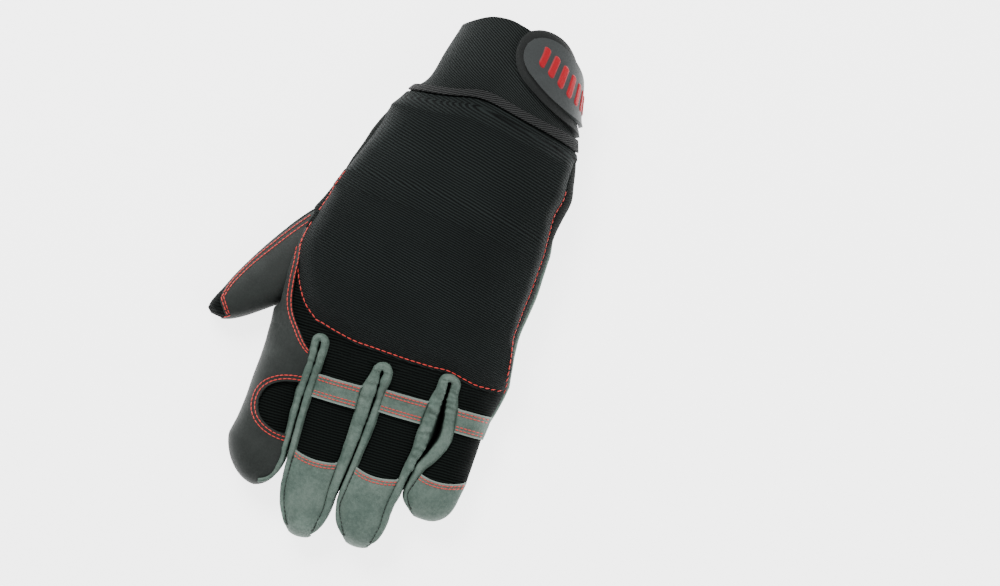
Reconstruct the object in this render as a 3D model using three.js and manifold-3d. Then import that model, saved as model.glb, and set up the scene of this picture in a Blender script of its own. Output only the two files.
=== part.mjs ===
// Work glove with a protective back, left hand, lying palm down. Millimetres, +Z up.
// Fingertips point to -Y, the cuff opens to +Y, the thumb lies at -X.

import * as THREE from "three";
import { mergeVertices } from "three/addons/utils/BufferGeometryUtils.js";
import Module from "manifold-3d";

const wasm = await Module();
wasm.setup();

// Driving dimensions
const HAND_WIDTH = 118;
const HAND_LENGTH = 121;
const HAND_HEIGHT = 28;
const CUFF_LENGTH = 46;
const CUFF_HEIGHT = 34;
const INDEX_LENGTH = 76;
const MIDDLE_LENGTH = 94.5;
const RING_LENGTH = 92;
const LITTLE_LENGTH = 70.5;
const FINGER_HEIGHT = 20;
const THUMB_LENGTH = 46;
const THUMB_WIDTH = 30;
const THUMB_HEIGHT = 17;
const SIDE_SEAM = 8;
const PALM_ROUND = 10;
const FABRIC = 1.2;
const LEATHER = 1.1;
const KNIT = 2;
const PAD_THICKNESS = 5;
const PAD_HEM = 1.2;
const RIDGE_HEIGHT = 1.9;
const STRAP_WIDTH = 27;
const STRAP_LENGTH = 90;
const STRAP_THICKNESS = 2.6;
const STRAP_FALL = 26;
const STRAP_RUN = 42;
const BADGE_WIDTH = 19.5;
const BADGE_LENGTH = 43;
const BADGE_THICKNESS = 1.8;
const TAPE_WIDTH = 5;
const TAPE_THICKNESS = 1.2;
const BAND_WIDTH = 11.5;
const GAP = 0.3;
const KNUCKLE_BLEND = 26;
const CAP_DIP = 3.3;
const PAD_RISE = 3.9;
const NOTCH_REACH = 19.5;
const NOTCH_LENGTH = 25.8;

// Shape of the sections: a high power gives a squarer back, side seams lie at SIDE_SEAM.
const HAND_ARCH = 2.7;
const FINGER_ARCH = 2.3;
const TIP_ARCH = 2.6;
const FINGER_PALM_EDGE = 3;
const FINGER_PALM_ROUND = 2.5;

// Columns and rows of facets of each sheet.
const MESH = {
  hand: [14, 12],
  fingerBack: [6, 6],
  palm: [15, 14],
  fingerFront: [10, 8],
  band: [6, 2],
  cap: [8, 7],
  sideWall: [30, 6],
  indexWrap: [18, 12],
  indexStrip: [4, 9],
  pad: [16, 14],
  cuff: [28, 6],
  tape: [14, 1],
  strap: [6, 18],
  badge: [6, 12],
  thumbLeather: [16, 8],
  thumbStrip: [6, 8],
  thumbTip: [14, 3],
};

// Outline of the hand: up is a share of HAND_LENGTH from the knuckles to the cuff seam,
// left and right are shares of HAND_WIDTH, top is a share of HAND_HEIGHT.
const HAND_ROWS = [
  { up: 0, left: -0.465, right: 0.51, top: 0.94 },
  { up: 0.07, left: -0.47, right: 0.502, top: 0.96 },
  { up: 0.19, left: -0.475, right: 0.493, top: 0.99 },
  { up: 0.29, left: -0.475, right: 0.505, top: 1.01 },
  { up: 0.38, left: -0.468, right: 0.517, top: 1.03 },
  { up: 0.45, left: -0.437, right: 0.52, top: 1.04 },
  { up: 0.53, left: -0.395, right: 0.523, top: 1.05 },
  { up: 0.62, left: -0.358, right: 0.528, top: 1.06 },
  { up: 0.69, left: -0.336, right: 0.541, top: 1.06 },
  { up: 0.77, left: -0.307, right: 0.557, top: 1.07 },
  { up: 0.84, left: -0.285, right: 0.547, top: 1.08 },
  { up: 0.91, left: -0.262, right: 0.534, top: 1.08 },
  { up: 1, left: -0.208, right: 0.506, top: 1.09 },
];

// Outline of the cuff: up is a share of CUFF_LENGTH from the seam to the mouth, left and right are
// shares of HAND_WIDTH, top is a share of CUFF_HEIGHT.
const CUFF_ROWS = [
  { up: 0, left: -0.208, right: 0.506, top: 0.9 },
  { up: 0.1, left: -0.178, right: 0.478, top: 0.9 },
  { up: 0.18, left: -0.148, right: 0.462, top: 0.91 },
  { up: 0.27, left: -0.13, right: 0.452, top: 0.93 },
  { up: 0.48, left: -0.106, right: 0.437, top: 0.97 },
  { up: 0.7, left: -0.08, right: 0.415, top: 0.99 },
  { up: 0.85, left: -0.064, right: 0.4, top: 1 },
  { up: 1, left: -0.053, right: 0.386, top: 1 },
];

// How far the seams bow along Y: across runs from -1 at the left side to 1 at the right side, the
// other columns are shares of HAND_WIDTH.
const BOW_ROWS = [
  { across: -1, knuckle: 0.035, seam: 0.01, mouth: -0.06 },
  { across: -0.6, knuckle: 0, seam: 0.026, mouth: -0.012 },
  { across: -0.25, knuckle: -0.018, seam: 0.05, mouth: -0.002 },
  { across: 0, knuckle: -0.03, seam: 0.044, mouth: -0.01 },
  { across: 0.4, knuckle: -0.006, seam: 0.012, mouth: -0.038 },
  { across: 0.8, knuckle: 0.004, seam: -0.022, mouth: -0.08 },
  { across: 1, knuckle: 0.01, seam: -0.047, mouth: -0.105 },
];

// Outer sides of the first and last finger: down is a share of that finger's length, side a share of
// HAND_WIDTH.
const INDEX_SIDE_ROWS = [
  { down: 0, side: -0.465 },
  { down: 0.19, side: -0.466 },
  { down: 0.43, side: -0.477 },
  { down: 0.62, side: -0.488 },
  { down: 0.77, side: -0.508 },
  { down: 1, side: -0.52 },
];
const LITTLE_SIDE_ROWS = [
  { down: 0, side: 0.51 },
  { down: 0.1, side: 0.5 },
  { down: 0.23, side: 0.481 },
  { down: 0.36, side: 0.471 },
  { down: 0.49, side: 0.467 },
  { down: 0.65, side: 0.462 },
  { down: 0.77, side: 0.453 },
  { down: 0.87, side: 0.443 },
  { down: 1, side: 0.432 },
];

// The slits between the fingers: down is a share of MIDDLE_LENGTH, the rest are shares of HAND_WIDTH:
// half is half the opening, near and far the widths of the rolled edges to its left and right.
const SLITS = [
  {
    name: "index_middle",
    crotch: 0.036,
    rows: [
      { down: 0, middle: -0.257, half: 0.003, near: 0.034, far: 0.034 },
      { down: 0.12, middle: -0.257, half: 0.003, near: 0.034, far: 0.034 },
      { down: 0.31, middle: -0.267, half: 0.003, near: 0.031, far: 0.032 },
      { down: 0.59, middle: -0.267, half: 0.003, near: 0.027, far: 0.031 },
      { down: 0.74, middle: -0.268, half: 0.01, near: 0.024, far: 0.026 },
      { down: 1, middle: -0.262, half: 0.013, near: 0.026, far: 0.031 },
    ],
  },
  {
    name: "middle_ring",
    crotch: 0.092,
    rows: [
      { down: 0, middle: 0.014, half: 0.006, near: 0.037, far: 0.037 },
      { down: 0.1, middle: 0.014, half: 0.006, near: 0.037, far: 0.037 },
      { down: 0.21, middle: 0.012, half: 0.003, near: 0.062, far: 0.033 },
      { down: 0.4, middle: 0.003, half: 0.003, near: 0.053, far: 0.037 },
      { down: 0.57, middle: -0.01, half: 0.003, near: 0.048, far: 0.03 },
      { down: 0.71, middle: -0.024, half: 0.003, near: 0.042, far: 0.027 },
      { down: 0.8, middle: -0.029, half: 0.005, near: 0.036, far: 0.026 },
      { down: 1, middle: -0.034, half: 0.014, near: 0.028, far: 0.031 },
    ],
  },
  {
    name: "ring_little",
    crotch: 0.06,
    rows: [
      { down: 0, middle: 0.287, half: 0.01, near: 0.038, far: 0.038 },
      { down: 0.1, middle: 0.285, half: 0.005, near: 0.042, far: 0.042 },
      { down: 0.17, middle: 0.285, half: 0.008, near: 0.053, far: 0.052 },
      { down: 0.26, middle: 0.289, half: 0.017, near: 0.058, far: 0.05 },
      { down: 0.34, middle: 0.287, half: 0.019, near: 0.056, far: 0.05 },
      { down: 0.42, middle: 0.268, half: 0.01, near: 0.048, far: 0.05 },
      { down: 0.49, middle: 0.246, half: 0.003, near: 0.041, far: 0.042 },
      { down: 0.58, middle: 0.23, half: 0.003, near: 0.034, far: 0.032 },
      { down: 0.66, middle: 0.219, half: 0.003, near: 0.034, far: 0.022 },
      { down: 0.74, middle: 0.219, half: 0.014, near: 0.034, far: 0.018 },
      { down: 0.9, middle: 0.211, half: 0.02, near: 0.026, far: 0.018 },
      { down: 1, middle: 0.205, half: 0.022, near: 0.022, far: 0.018 },
    ],
  },
];

// The fingers: roundFrom is the share of the length where the tip starts to round off, power how
// square the tip is, lean how far it leans to the right as a share of HAND_WIDTH, tall a share of
// FINGER_HEIGHT, band, cap and cloth the shares of the length where the band and the cap start and
// where the fabric under the cap ends.
const INDEX = {
  name: "index",
  length: INDEX_LENGTH,
  roundFrom: 0.75,
  power: 1.9,
  lean: 0.036,
  tall: 1,
  cloth: 0.79,
};
const MIDDLE = {
  name: "middle",
  length: MIDDLE_LENGTH,
  roundFrom: 0.77,
  power: 2.4,
  lean: 0.015,
  tall: 1.04,
  band: 0.188,
  cap: 0.575,
  cloth: 0.65,
};
const RING = {
  name: "ring",
  length: RING_LENGTH,
  roundFrom: 0.81,
  power: 2.2,
  lean: 0.02,
  tall: 1.02,
  band: 0.175,
  cap: 0.59,
  cloth: 0.66,
};
const LITTLE = {
  name: "little",
  length: LITTLE_LENGTH,
  roundFrom: 0.8,
  power: 2.8,
  lean: 0,
  tall: 0.92,
  band: 0.222,
  cap: 0.69,
  cloth: 0.77,
};
const FINGERS = [INDEX, MIDDLE, RING, LITTLE];

// Height of a finger's back along it, as a share of its own height.
const FINGER_TOP_ROWS = [
  { down: 0, top: 1.12 },
  { down: 0.3, top: 1.03 },
  { down: 0.75, top: 0.93 },
  { down: 1, top: 0.87 },
];

// Edges of the protective pad: up is a share of HAND_LENGTH, left and right shares of HAND_WIDTH.
const PAD_ROWS = [
  { up: 0.04, left: -0.3, right: 0.505 },
  { up: 0.09, left: -0.362, right: 0.497 },
  { up: 0.17, left: -0.388, right: 0.49 },
  { up: 0.26, left: -0.407, right: 0.49 },
  { up: 0.34, left: -0.414, right: 0.497 },
  { up: 0.45, left: -0.408, right: 0.502 },
  { up: 0.53, left: -0.39, right: 0.507 },
  { up: 0.62, left: -0.355, right: 0.513 },
  { up: 0.75, left: -0.312, right: 0.522 },
  { up: 1.05, left: -0.206, right: 0.49 },
];

// Edge of the dark leather along the hand: up is a share of HAND_LENGTH, edge a share of HAND_WIDTH.
const WRAP_EDGE_ROWS = [
  { up: -0.06, edge: -0.303 },
  { up: 0, edge: -0.352 },
  { up: 0.05, edge: -0.388 },
  { up: 0.1, edge: -0.408 },
  { up: 0.17, edge: -0.419 },
  { up: 0.25, edge: -0.424 },
  { up: 0.32, edge: -0.432 },
];

// The thumb in its own frame: along is a share of THUMB_LENGTH from the hand's side, outer and inner
// are shares of THUMB_WIDTH across, top a share of THUMB_HEIGHT, split where the fabric meets the
// leather on the way from the outer side over the top.
const THUMB_ROWS = [
  { along: -0.4, outer: 0.5, inner: -0.52, top: 1, split: 0.09 },
  { along: -0.2, outer: 0.47, inner: -0.53, top: 1, split: 0.08 },
  { along: 0.2, outer: 0.36, inner: -0.55, top: 1, split: 0.07 },
  { along: 0.56, outer: 0.22, inner: -0.47, top: 0.97, split: 0.07 },
  { along: 0.77, outer: 0.11, inner: -0.4, top: 0.9, split: 0.12 },
  { along: 0.92, outer: 0.035, inner: -0.29, top: 0.78, split: 0.3 },
  { along: 1, outer: -0.035, inner: -0.14, top: 0.5, split: 0.42 },
];
const THUMB_TURN = THREE.MathUtils.degToRad(225.5);
const THUMB_ROOT_UP = 0.255;
const THUMB_SEAM = 7;
const THUMB_LEATHER_END = 0.92;
const THUMB_LEATHER_FROM = 0.93;
const THUMB_STRIP_END = -0.058;
const THUMB_GAP_SHARE = 0.01;
const THUMB_DOOR_SHARE = 0.79;
const THUMB_DOOR_EDGE = 3;
const BACK_DOOR_SHARE = 0.115;
const PALM_DOOR_SHARE = 0.2;
const WRAP_SOLE_SHARE = 0.45;

const KNUCKLE_Y = 0;
const SEAM_Y = KNUCKLE_Y + HAND_LENGTH;
const MOUTH_Y = SEAM_Y + CUFF_LENGTH;

const { clamp, lerp, smoothstep } = THREE.MathUtils;

// A smooth curve through the rows of a table, held flat past its ends.
function curve(rows, at, value) {
  const slopes = rows.map((row, i) => {
    const before = rows[Math.max(i - 1, 0)];
    const after = rows[Math.min(i + 1, rows.length - 1)];
    return (after[value] - before[value]) / (after[at] - before[at]);
  });
  return (position) => {
    const p = clamp(position, rows[0][at], rows[rows.length - 1][at]);
    const next = clamp(rows.findIndex((row) => row[at] >= p), 1, rows.length - 1);
    const from = rows[next - 1];
    const to = rows[next];
    const step = to[at] - from[at];
    const t = (p - from[at]) / step;
    const rise = to[value] - from[value];
    const start = slopes[next - 1] * step;
    const end = slopes[next] * step;
    return from[value] + t * (start + t * (3 * rise - 2 * start - end + t * (start + end - 2 * rise)));
  };
}

const handLeft = curve(HAND_ROWS, "up", "left");
const handRight = curve(HAND_ROWS, "up", "right");
const handTop = curve(HAND_ROWS, "up", "top");
const cuffLeft = curve(CUFF_ROWS, "up", "left");
const cuffRight = curve(CUFF_ROWS, "up", "right");
const cuffTop = curve(CUFF_ROWS, "up", "top");
const knuckleBow = curve(BOW_ROWS, "across", "knuckle");
const seamBow = curve(BOW_ROWS, "across", "seam");
const mouthBow = curve(BOW_ROWS, "across", "mouth");
const indexSide = curve(INDEX_SIDE_ROWS, "down", "side");
const littleSide = curve(LITTLE_SIDE_ROWS, "down", "side");
const fingerTop = curve(FINGER_TOP_ROWS, "down", "top");
const padLeft = curve(PAD_ROWS, "up", "left");
const padRight = curve(PAD_ROWS, "up", "right");
const wrapEdge = curve(WRAP_EDGE_ROWS, "up", "edge");
const slits = SLITS.map((slit) => ({
  name: slit.name,
  crotch: KNUCKLE_Y - slit.crotch * MIDDLE_LENGTH,
  middle: curve(slit.rows, "down", "middle"),
  half: curve(slit.rows, "down", "half"),
  near: curve(slit.rows, "down", "near"),
  far: curve(slit.rows, "down", "far"),
}));

const knuckleLine = (across) => KNUCKLE_Y + knuckleBow(across) * HAND_WIDTH;
const seamLine = (across) => SEAM_Y + seamBow(across) * HAND_WIDTH;
const mouthLine = (across) => MOUTH_Y + mouthBow(across) * HAND_WIDTH;

function slitMiddle(slit, y) {
  return slit.middle((KNUCKLE_Y - y) / MIDDLE_LENGTH) * HAND_WIDTH;
}

function slitHalf(slit, y) {
  return Math.max(slit.half((KNUCKLE_Y - y) / MIDDLE_LENGTH) * HAND_WIDTH, GAP);
}

// Width of the rolled edge beside a slit, on its near (left) or far (right) side.
function ridgeWidth(slit, side, y) {
  return slit[side]((KNUCKLE_Y - y) / MIDDLE_LENGTH) * HAND_WIDTH;
}

// The section of the hand and cuff at a height y: its middle, half width, top and underside.
function bodySection(y) {
  let left;
  let right;
  let top;
  if (y > SEAM_Y) {
    const up = (y - SEAM_Y) / CUFF_LENGTH;
    left = cuffLeft(up) * HAND_WIDTH;
    right = cuffRight(up) * HAND_WIDTH;
    top = lerp(handTop(1) * HAND_HEIGHT, CUFF_HEIGHT * cuffTop(up), smoothstep(up, 0, 0.5));
  } else if (y > KNUCKLE_Y) {
    const up = (y - KNUCKLE_Y) / HAND_LENGTH;
    left = handLeft(up) * HAND_WIDTH;
    right = handRight(up) * HAND_WIDTH;
    top = handTop(up) * HAND_HEIGHT;
  } else {
    left = indexSide((KNUCKLE_Y - y) / INDEX_LENGTH) * HAND_WIDTH;
    right = littleSide((KNUCKLE_Y - y) / LITTLE_LENGTH) * HAND_WIDTH;
    top = handTop(0) * HAND_HEIGHT;
  }
  const lift = (STRAP_THICKNESS + 3 * GAP) * smoothstep(y, SEAM_Y - PALM_ROUND, SEAM_Y + 2);
  return { middle: (left + right) / 2, half: (right - left) / 2, top, low: lift, seam: SIDE_SEAM + lift };
}

// A finger's section: the tip rounds off over the last part of its length.
function fingerSection(i, y) {
  const finger = FINGERS[i];
  const down = (KNUCKLE_Y - y) / finger.length;
  const body = bodySection(y);
  let left = body.middle - body.half;
  if (i > 0) {
    left = slitMiddle(slits[i - 1], y) + slitHalf(slits[i - 1], y);
  }
  let right = body.middle + body.half;
  if (i < slits.length) {
    right = slitMiddle(slits[i], y) - slitHalf(slits[i], y);
  }
  const rounding = clamp((down - finger.roundFrom) / (1 - finger.roundFrom), 0, 0.9998);
  const narrow = (1 - rounding ** finger.power) ** (1 / finger.power);
  const lower = (1 - rounding ** TIP_ARCH) ** (1 / TIP_ARCH);
  const middle = (left + right) / 2 + finger.lean * HAND_WIDTH * rounding;
  const top = lerp(SIDE_SEAM, fingerTop(down) * finger.tall * FINGER_HEIGHT, lower);
  return { middle, half: ((right - left) / 2) * narrow, top, narrow, rounding };
}

// Height of an arched back at a place across it, from -1 to 1.
function archRise(across, power) {
  return (1 - clamp(Math.abs(across), 0, 1) ** power) ** (1 / power);
}

function handHeight(x, y) {
  const body = bodySection(y);
  return lerp(body.seam, body.top, archRise((x - body.middle) / body.half, HAND_ARCH));
}

// Height of a finger's back, which grows out of the back of the hand below the knuckles.
function fingerHeight(i, x, y) {
  const section = fingerSection(i, y);
  const own = lerp(SIDE_SEAM, section.top, archRise((x - section.middle) / section.half, FINGER_ARCH));
  const blend = smoothstep(KNUCKLE_Y - y, 0, KNUCKLE_BLEND);
  return lerp(handHeight(x, y), own, blend);
}

// Share of the full ridge width that is left where a finger's tip narrows.
const ridgeShare = (narrow) => clamp((narrow - 0.35) / 0.5, 0.3, 1);

// How far a piece on a finger's back keeps from the middle of a slit, so that the loop of the
// side wall round the crotch fits between.
function slitClearance(slit, side, y, clearance) {
  const limb = Math.min(y, slit.crotch);
  const reach = slitHalf(slit, limb) + ridgeWidth(slit, side, limb) + clearance;
  const past = y - slit.crotch;
  if (past <= 0) {
    return reach;
  }
  return Math.sqrt(Math.max(reach ** 2 - past ** 2, 0));
}

// Left and right limits of a piece on a finger's back, as shares from -1 to 1 of its section.
function backLimits(i, y, clearance) {
  const section = fingerSection(i, y);
  const limits = [-1, 1];
  const keep = section.narrow > 0.4 ? ridgeShare(section.narrow) : 0;
  const tipInset = keep > 0 ? 2 * GAP : 0;
  if (i > 0) {
    const slit = slits[i - 1];
    const inset = slitClearance(slit, "far", y, clearance) - slitHalf(slit, y);
    limits[0] = clamp(-1 + lerp(tipInset, inset, keep) / section.half, -1.2, 0.9);
  }
  if (i < slits.length) {
    const slit = slits[i];
    const inset = slitClearance(slit, "near", y, clearance) - slitHalf(slit, y);
    limits[1] = clamp(1 - lerp(tipInset, inset, keep) / section.half, -0.9, 1.2);
  }
  return limits;
}

const signedPower = (value, power) => Math.sign(value) * Math.abs(value) ** power;

// Even steps round an arch: q from 0 to 1 gives a place across it from -1 to 1.
const acrossAt = (q, power) => signedPower(-Math.cos(Math.PI * q), 2 / power);
const stepOf = (across, power) => Math.acos(-signedPower(clamp(across, -1, 1), power / 2)) / Math.PI;

// A point of the underside: q from 0 at the right seam to 1 at the left seam, round corners and a
// flat rest between them.
function soleStep(q, corner) {
  const bend = 0.2;
  if (q < bend) {
    const turn = (q / bend) * (Math.PI / 2);
    return { across: 1 - corner * (1 - Math.cos(turn)), drop: Math.sin(turn) };
  }
  if (q > 1 - bend) {
    const turn = ((1 - q) / bend) * (Math.PI / 2);
    return { across: corner * (1 - Math.cos(turn)) - 1, drop: Math.sin(turn) };
  }
  return { across: lerp(1 - corner, corner - 1, (q - bend) / (1 - 2 * bend)), drop: 1 };
}

// Turns a closed mesh face out and merges its doubled corners.
function closed(geometry) {
  geometry.deleteAttribute("normal");
  geometry.deleteAttribute("uv");
  const merged = mergeVertices(geometry, 1e-3);
  const place = merged.attributes.position;
  const index = merged.index.array;
  const [a, b, c] = [new THREE.Vector3(), new THREE.Vector3(), new THREE.Vector3()];
  let volume = 0;
  for (let i = 0; i < index.length; i += 3) {
    a.fromBufferAttribute(place, index[i]);
    b.fromBufferAttribute(place, index[i + 1]);
    c.fromBufferAttribute(place, index[i + 2]);
    volume += a.dot(b.cross(c));
  }
  if (volume < 0) {
    for (let i = 0; i < index.length; i += 3) {
      [index[i], index[i + 1]] = [index[i + 1], index[i]];
    }
  }
  return merged;
}

// Moves the corners of a box or ring mesh to surface(u, v), raised by lift(u, v) along the normal.
function drape(geometry, coordinates, surface, lift) {
  const place = geometry.attributes.position;
  const step = 1e-3;
  for (let i = 0; i < place.count; i += 1) {
    const { u, v, outside } = coordinates(place.getX(i), place.getY(i), place.getZ(i));
    const point = surface(u, v);
    const du = surface(u + step, v).sub(surface(u - step, v));
    const dv = surface(u, v + step).sub(surface(u, v - step));
    const normal = du.cross(dv).normalize();
    const heights = lift(u, v);
    point.addScaledVector(normal, outside ? heights[1] : heights[0]);
    place.setXYZ(i, point.x, point.y, point.z);
  }
  return closed(geometry);
}

// A sheet of cloth or leather: u from 0 to 1 across and v from 0 to 1 along, facing du x dv.
function sheet(surface, lift, columns, rows) {
  const box = new THREE.BoxGeometry(1, 1, 1, columns, rows, 1);
  const coordinates = (x, y, z) => ({
    u: lerp(1e-3, 1 - 1e-3, x + 0.5),
    v: lerp(1e-3, 1 - 1e-3, y + 0.5),
    outside: z > 0,
  });
  return drape(box, coordinates, surface, lift);
}

// A sleeve closed round u, open at both ends of v.
function sleeve(surface, lift, columns, rows) {
  const profile = [];
  for (let row = 0; row <= rows; row += 1) {
    profile.push(new THREE.Vector2(2, row / rows));
  }
  for (let row = rows; row >= 0; row -= 1) {
    profile.push(new THREE.Vector2(1, row / rows));
  }
  profile.push(profile[0].clone());
  const ring = new THREE.LatheGeometry(profile, columns);
  const coordinates = (x, y, z) => ({
    u: (Math.atan2(x, z) / (2 * Math.PI) + 1) % 1,
    v: lerp(1e-3, 1 - 1e-3, y),
    outside: Math.hypot(x, z) > 1.5,
  });
  return drape(ring, coordinates, surface, lift);
}

function solidOf(geometry) {
  return new wasm.Manifold(new wasm.Mesh({
    numProp: 3,
    vertProperties: new Float32Array(geometry.attributes.position.array),
    triVerts: new Uint32Array(geometry.index.array),
  }));
}

function geometryOf(solid) {
  const mesh = solid.getMesh();
  const geometry = new THREE.BufferGeometry();
  geometry.setAttribute("position", new THREE.BufferAttribute(mesh.vertProperties, 3));
  geometry.setIndex(new THREE.BufferAttribute(mesh.triVerts, 1));
  return geometry;
}

const join = (parts) => geometryOf(parts.map(solidOf).reduce((whole, part) => whole.add(part)));
const cut = (geometry, tool) => geometryOf(solidOf(geometry).subtract(solidOf(tool)));

// A sheet that runs under its neighbour to be joined to it is thinned a little over that stretch.
const TUCK = 0.04;
const tucked = (low, high, hidden) => (hidden ? [low + TUCK, high - TUCK] : [low, high]);

// Where the thumb opens into the hand, the hand's side is open by this share, 0 to 1.
function thumbDoor(y) {
  const root = KNUCKLE_Y + THUMB_ROOT_UP * HAND_LENGTH;
  const reach = THUMB_WIDTH * THUMB_DOOR_SHARE;
  return 1 - smoothstep(Math.abs(y - root), reach - THUMB_DOOR_EDGE, reach + THUMB_DOOR_EDGE);
}

// Back of the hand from the knuckle line to the cuff seam.
function handBack(leftOf, rightOf, fromLine, toLine) {
  return (u, v) => {
    const guess = lerp(KNUCKLE_Y, SEAM_Y, v);
    const q = lerp(leftOf(guess), rightOf(guess), u);
    const across = acrossAt(q, HAND_ARCH);
    const y = lerp(fromLine(across), toLine(across), v);
    const body = bodySection(y);
    const z = lerp(body.seam + GAP / 2, body.top, archRise(across, HAND_ARCH));
    return new THREE.Vector3(body.middle + body.half * across, y, z);
  };
}

// Back of a finger between two distances from the knuckles, within its limits.
function fingerBack(i, clearance, fromLine, toLine, reach = [-1, 1]) {
  return (u, v) => {
    const nearU = (limits) => lerp(stepOf(limits[0], FINGER_ARCH), stepOf(limits[1], FINGER_ARCH), u);
    const rough = lerp(toLine(0), fromLine(0), v);
    const limits = backLimits(i, rough, clearance);
    limits[0] = Math.max(limits[0], reach[0]);
    limits[1] = Math.min(limits[1], reach[1]);
    const across = acrossAt(nearU(limits), FINGER_ARCH);
    const y = lerp(toLine(across), fromLine(across), v);
    const section = fingerSection(i, y);
    const x = section.middle + section.half * across;
    const own = lerp(SIDE_SEAM + GAP / 2, section.top, archRise(across, FINGER_ARCH));
    const blend = smoothstep(KNUCKLE_Y - y, 0, KNUCKLE_BLEND);
    return new THREE.Vector3(x, y, lerp(handHeight(x, y), own, blend));
  };
}

const FABRIC_CLEARANCE = GAP;
const LEATHER_CLEARANCE = 5 * GAP;
const WRAP_LIFT = 2.5 * GAP;

function knuckleNear(i, extra) {
  return (across) => {
    const section = fingerSection(i, KNUCKLE_Y);
    const body = bodySection(KNUCKLE_Y);
    const place = (section.middle + section.half * across - body.middle) / body.half;
    return knuckleLine(clamp(place, -1, 1)) + extra;
  };
}

// The fabric back, or a thicker body of the same outer form that clears room for what lies on it.
function backShell(low, high) {
  const doorLeft = (y) => BACK_DOOR_SHARE * thumbDoor(y);
  const hand = sheet(
    handBack(doorLeft, () => 1, knuckleLine, (across) => seamLine(across) - GAP),
    () => [low, high],
    ...MESH.hand,
  );
  const strips = FINGERS.map((finger, i) => {
    const end = KNUCKLE_Y - finger.cloth * finger.length;
    const root = knuckleNear(i, 2);
    const reach = i === 0 ? [-0.9, 1] : [-1, 1];
    return sheet(
      fingerBack(i, FABRIC_CLEARANCE, root, () => end, reach),
      (u, v) => tucked(low, high, v > 0.97),
      ...MESH.fingerBack,
    );
  });
  return join([hand, ...strips]);
}

function palm() {
  const doorShare = (y) => 1 - PALM_DOOR_SHARE * thumbDoor(y);
  const handSole = (u, v) => {
    const guess = lerp(KNUCKLE_Y, SEAM_Y, v);
    const body0 = bodySection(guess);
    const step = soleStep(u * doorShare(guess), PALM_ROUND / body0.half);
    const y = lerp(knuckleLine(step.across), seamLine(step.across) - GAP, v);
    const body = bodySection(y);
    const z = lerp(body.seam - GAP / 2, body.low, step.drop);
    return new THREE.Vector3(body.middle + body.half * step.across, y, z);
  };
  const hand = sheet(handSole, () => [-LEATHER, 0], ...MESH.palm);
  const fronts = [1, 2, 3].map((i) => {
    const root = knuckleNear(i, 2);
    return sheet(fingerSole(i, root), (u, v) => tucked(-LEATHER, 0, v > 0.97), ...MESH.fingerFront);
  });
  return join([hand, ...fronts]);
}

// How high the palm side of a finger turns up at its slits: low at the crotch, up at the tip.
function soleEdge(slit, y, rounding) {
  const height = lerp(LEATHER + GAP, FINGER_PALM_EDGE, smoothstep(slit.crotch - y, 4, 14));
  return lerp(height, SIDE_SEAM - GAP, smoothstep(rounding, 0.55, 0.95));
}

// Height of a finger's palm side over the floor, which curls up at the tip.
function soleCurl(rounding) {
  const curl = clamp((rounding - 0.45) / 0.55, 0, 1);
  return (SIDE_SEAM - 2 * GAP) * (1 - Math.sqrt(1 - curl ** 2));
}

// Palm side of a finger, from its right edge to its left edge.
function fingerSole(i, root) {
  return (u, v) => {
    const finger = FINGERS[i];
    const tip = KNUCKLE_Y - finger.length;
    const y = lerp(tip, root(0), v ** 1.6);
    const section = fingerSection(i, y);
    const rightEdge = i < slits.length ? soleEdge(slits[i], y, section.rounding) : SIDE_SEAM - GAP / 2;
    const leftEdge = i > 0 ? soleEdge(slits[i - 1], y, section.rounding) : SIDE_SEAM - GAP / 2;
    const round = (u < 0.5 ? i < slits.length : i > 0) ? FINGER_PALM_ROUND : PALM_ROUND / 2;
    const step = soleStep(u, Math.min(round / section.half, 0.9));
    const edge = u < 0.5 ? rightEdge : leftEdge;
    const curl = soleCurl(section.rounding);
    return new THREE.Vector3(section.middle + section.half * step.across, y, lerp(edge, curl, step.drop));
  };
}

function knuckleBand(i) {
  const finger = FINGERS[i];
  const from = KNUCKLE_Y - finger.band * finger.length;
  const surface = fingerBack(i, LEATHER_CLEARANCE, () => from, () => from - BAND_WIDTH);
  return sheet(surface, () => [2 * GAP, 2 * GAP + LEATHER], ...MESH.band);
}

function fingertipCap(i) {
  const finger = FINGERS[i];
  const from = KNUCKLE_Y - finger.cap * finger.length;
  const tip = KNUCKLE_Y - finger.length;
  const eased = (surface) => (u, v) => surface(u, 1 - Math.sin((1 - v) * (Math.PI / 2)));
  const surface = fingerBack(
    i,
    LEATHER_CLEARANCE,
    (across) => from - CAP_DIP * (1 - across ** 2),
    () => tip,
  );
  return sheet(eased(surface), () => [GAP, GAP + LEATHER], ...MESH.cap);
}

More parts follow.
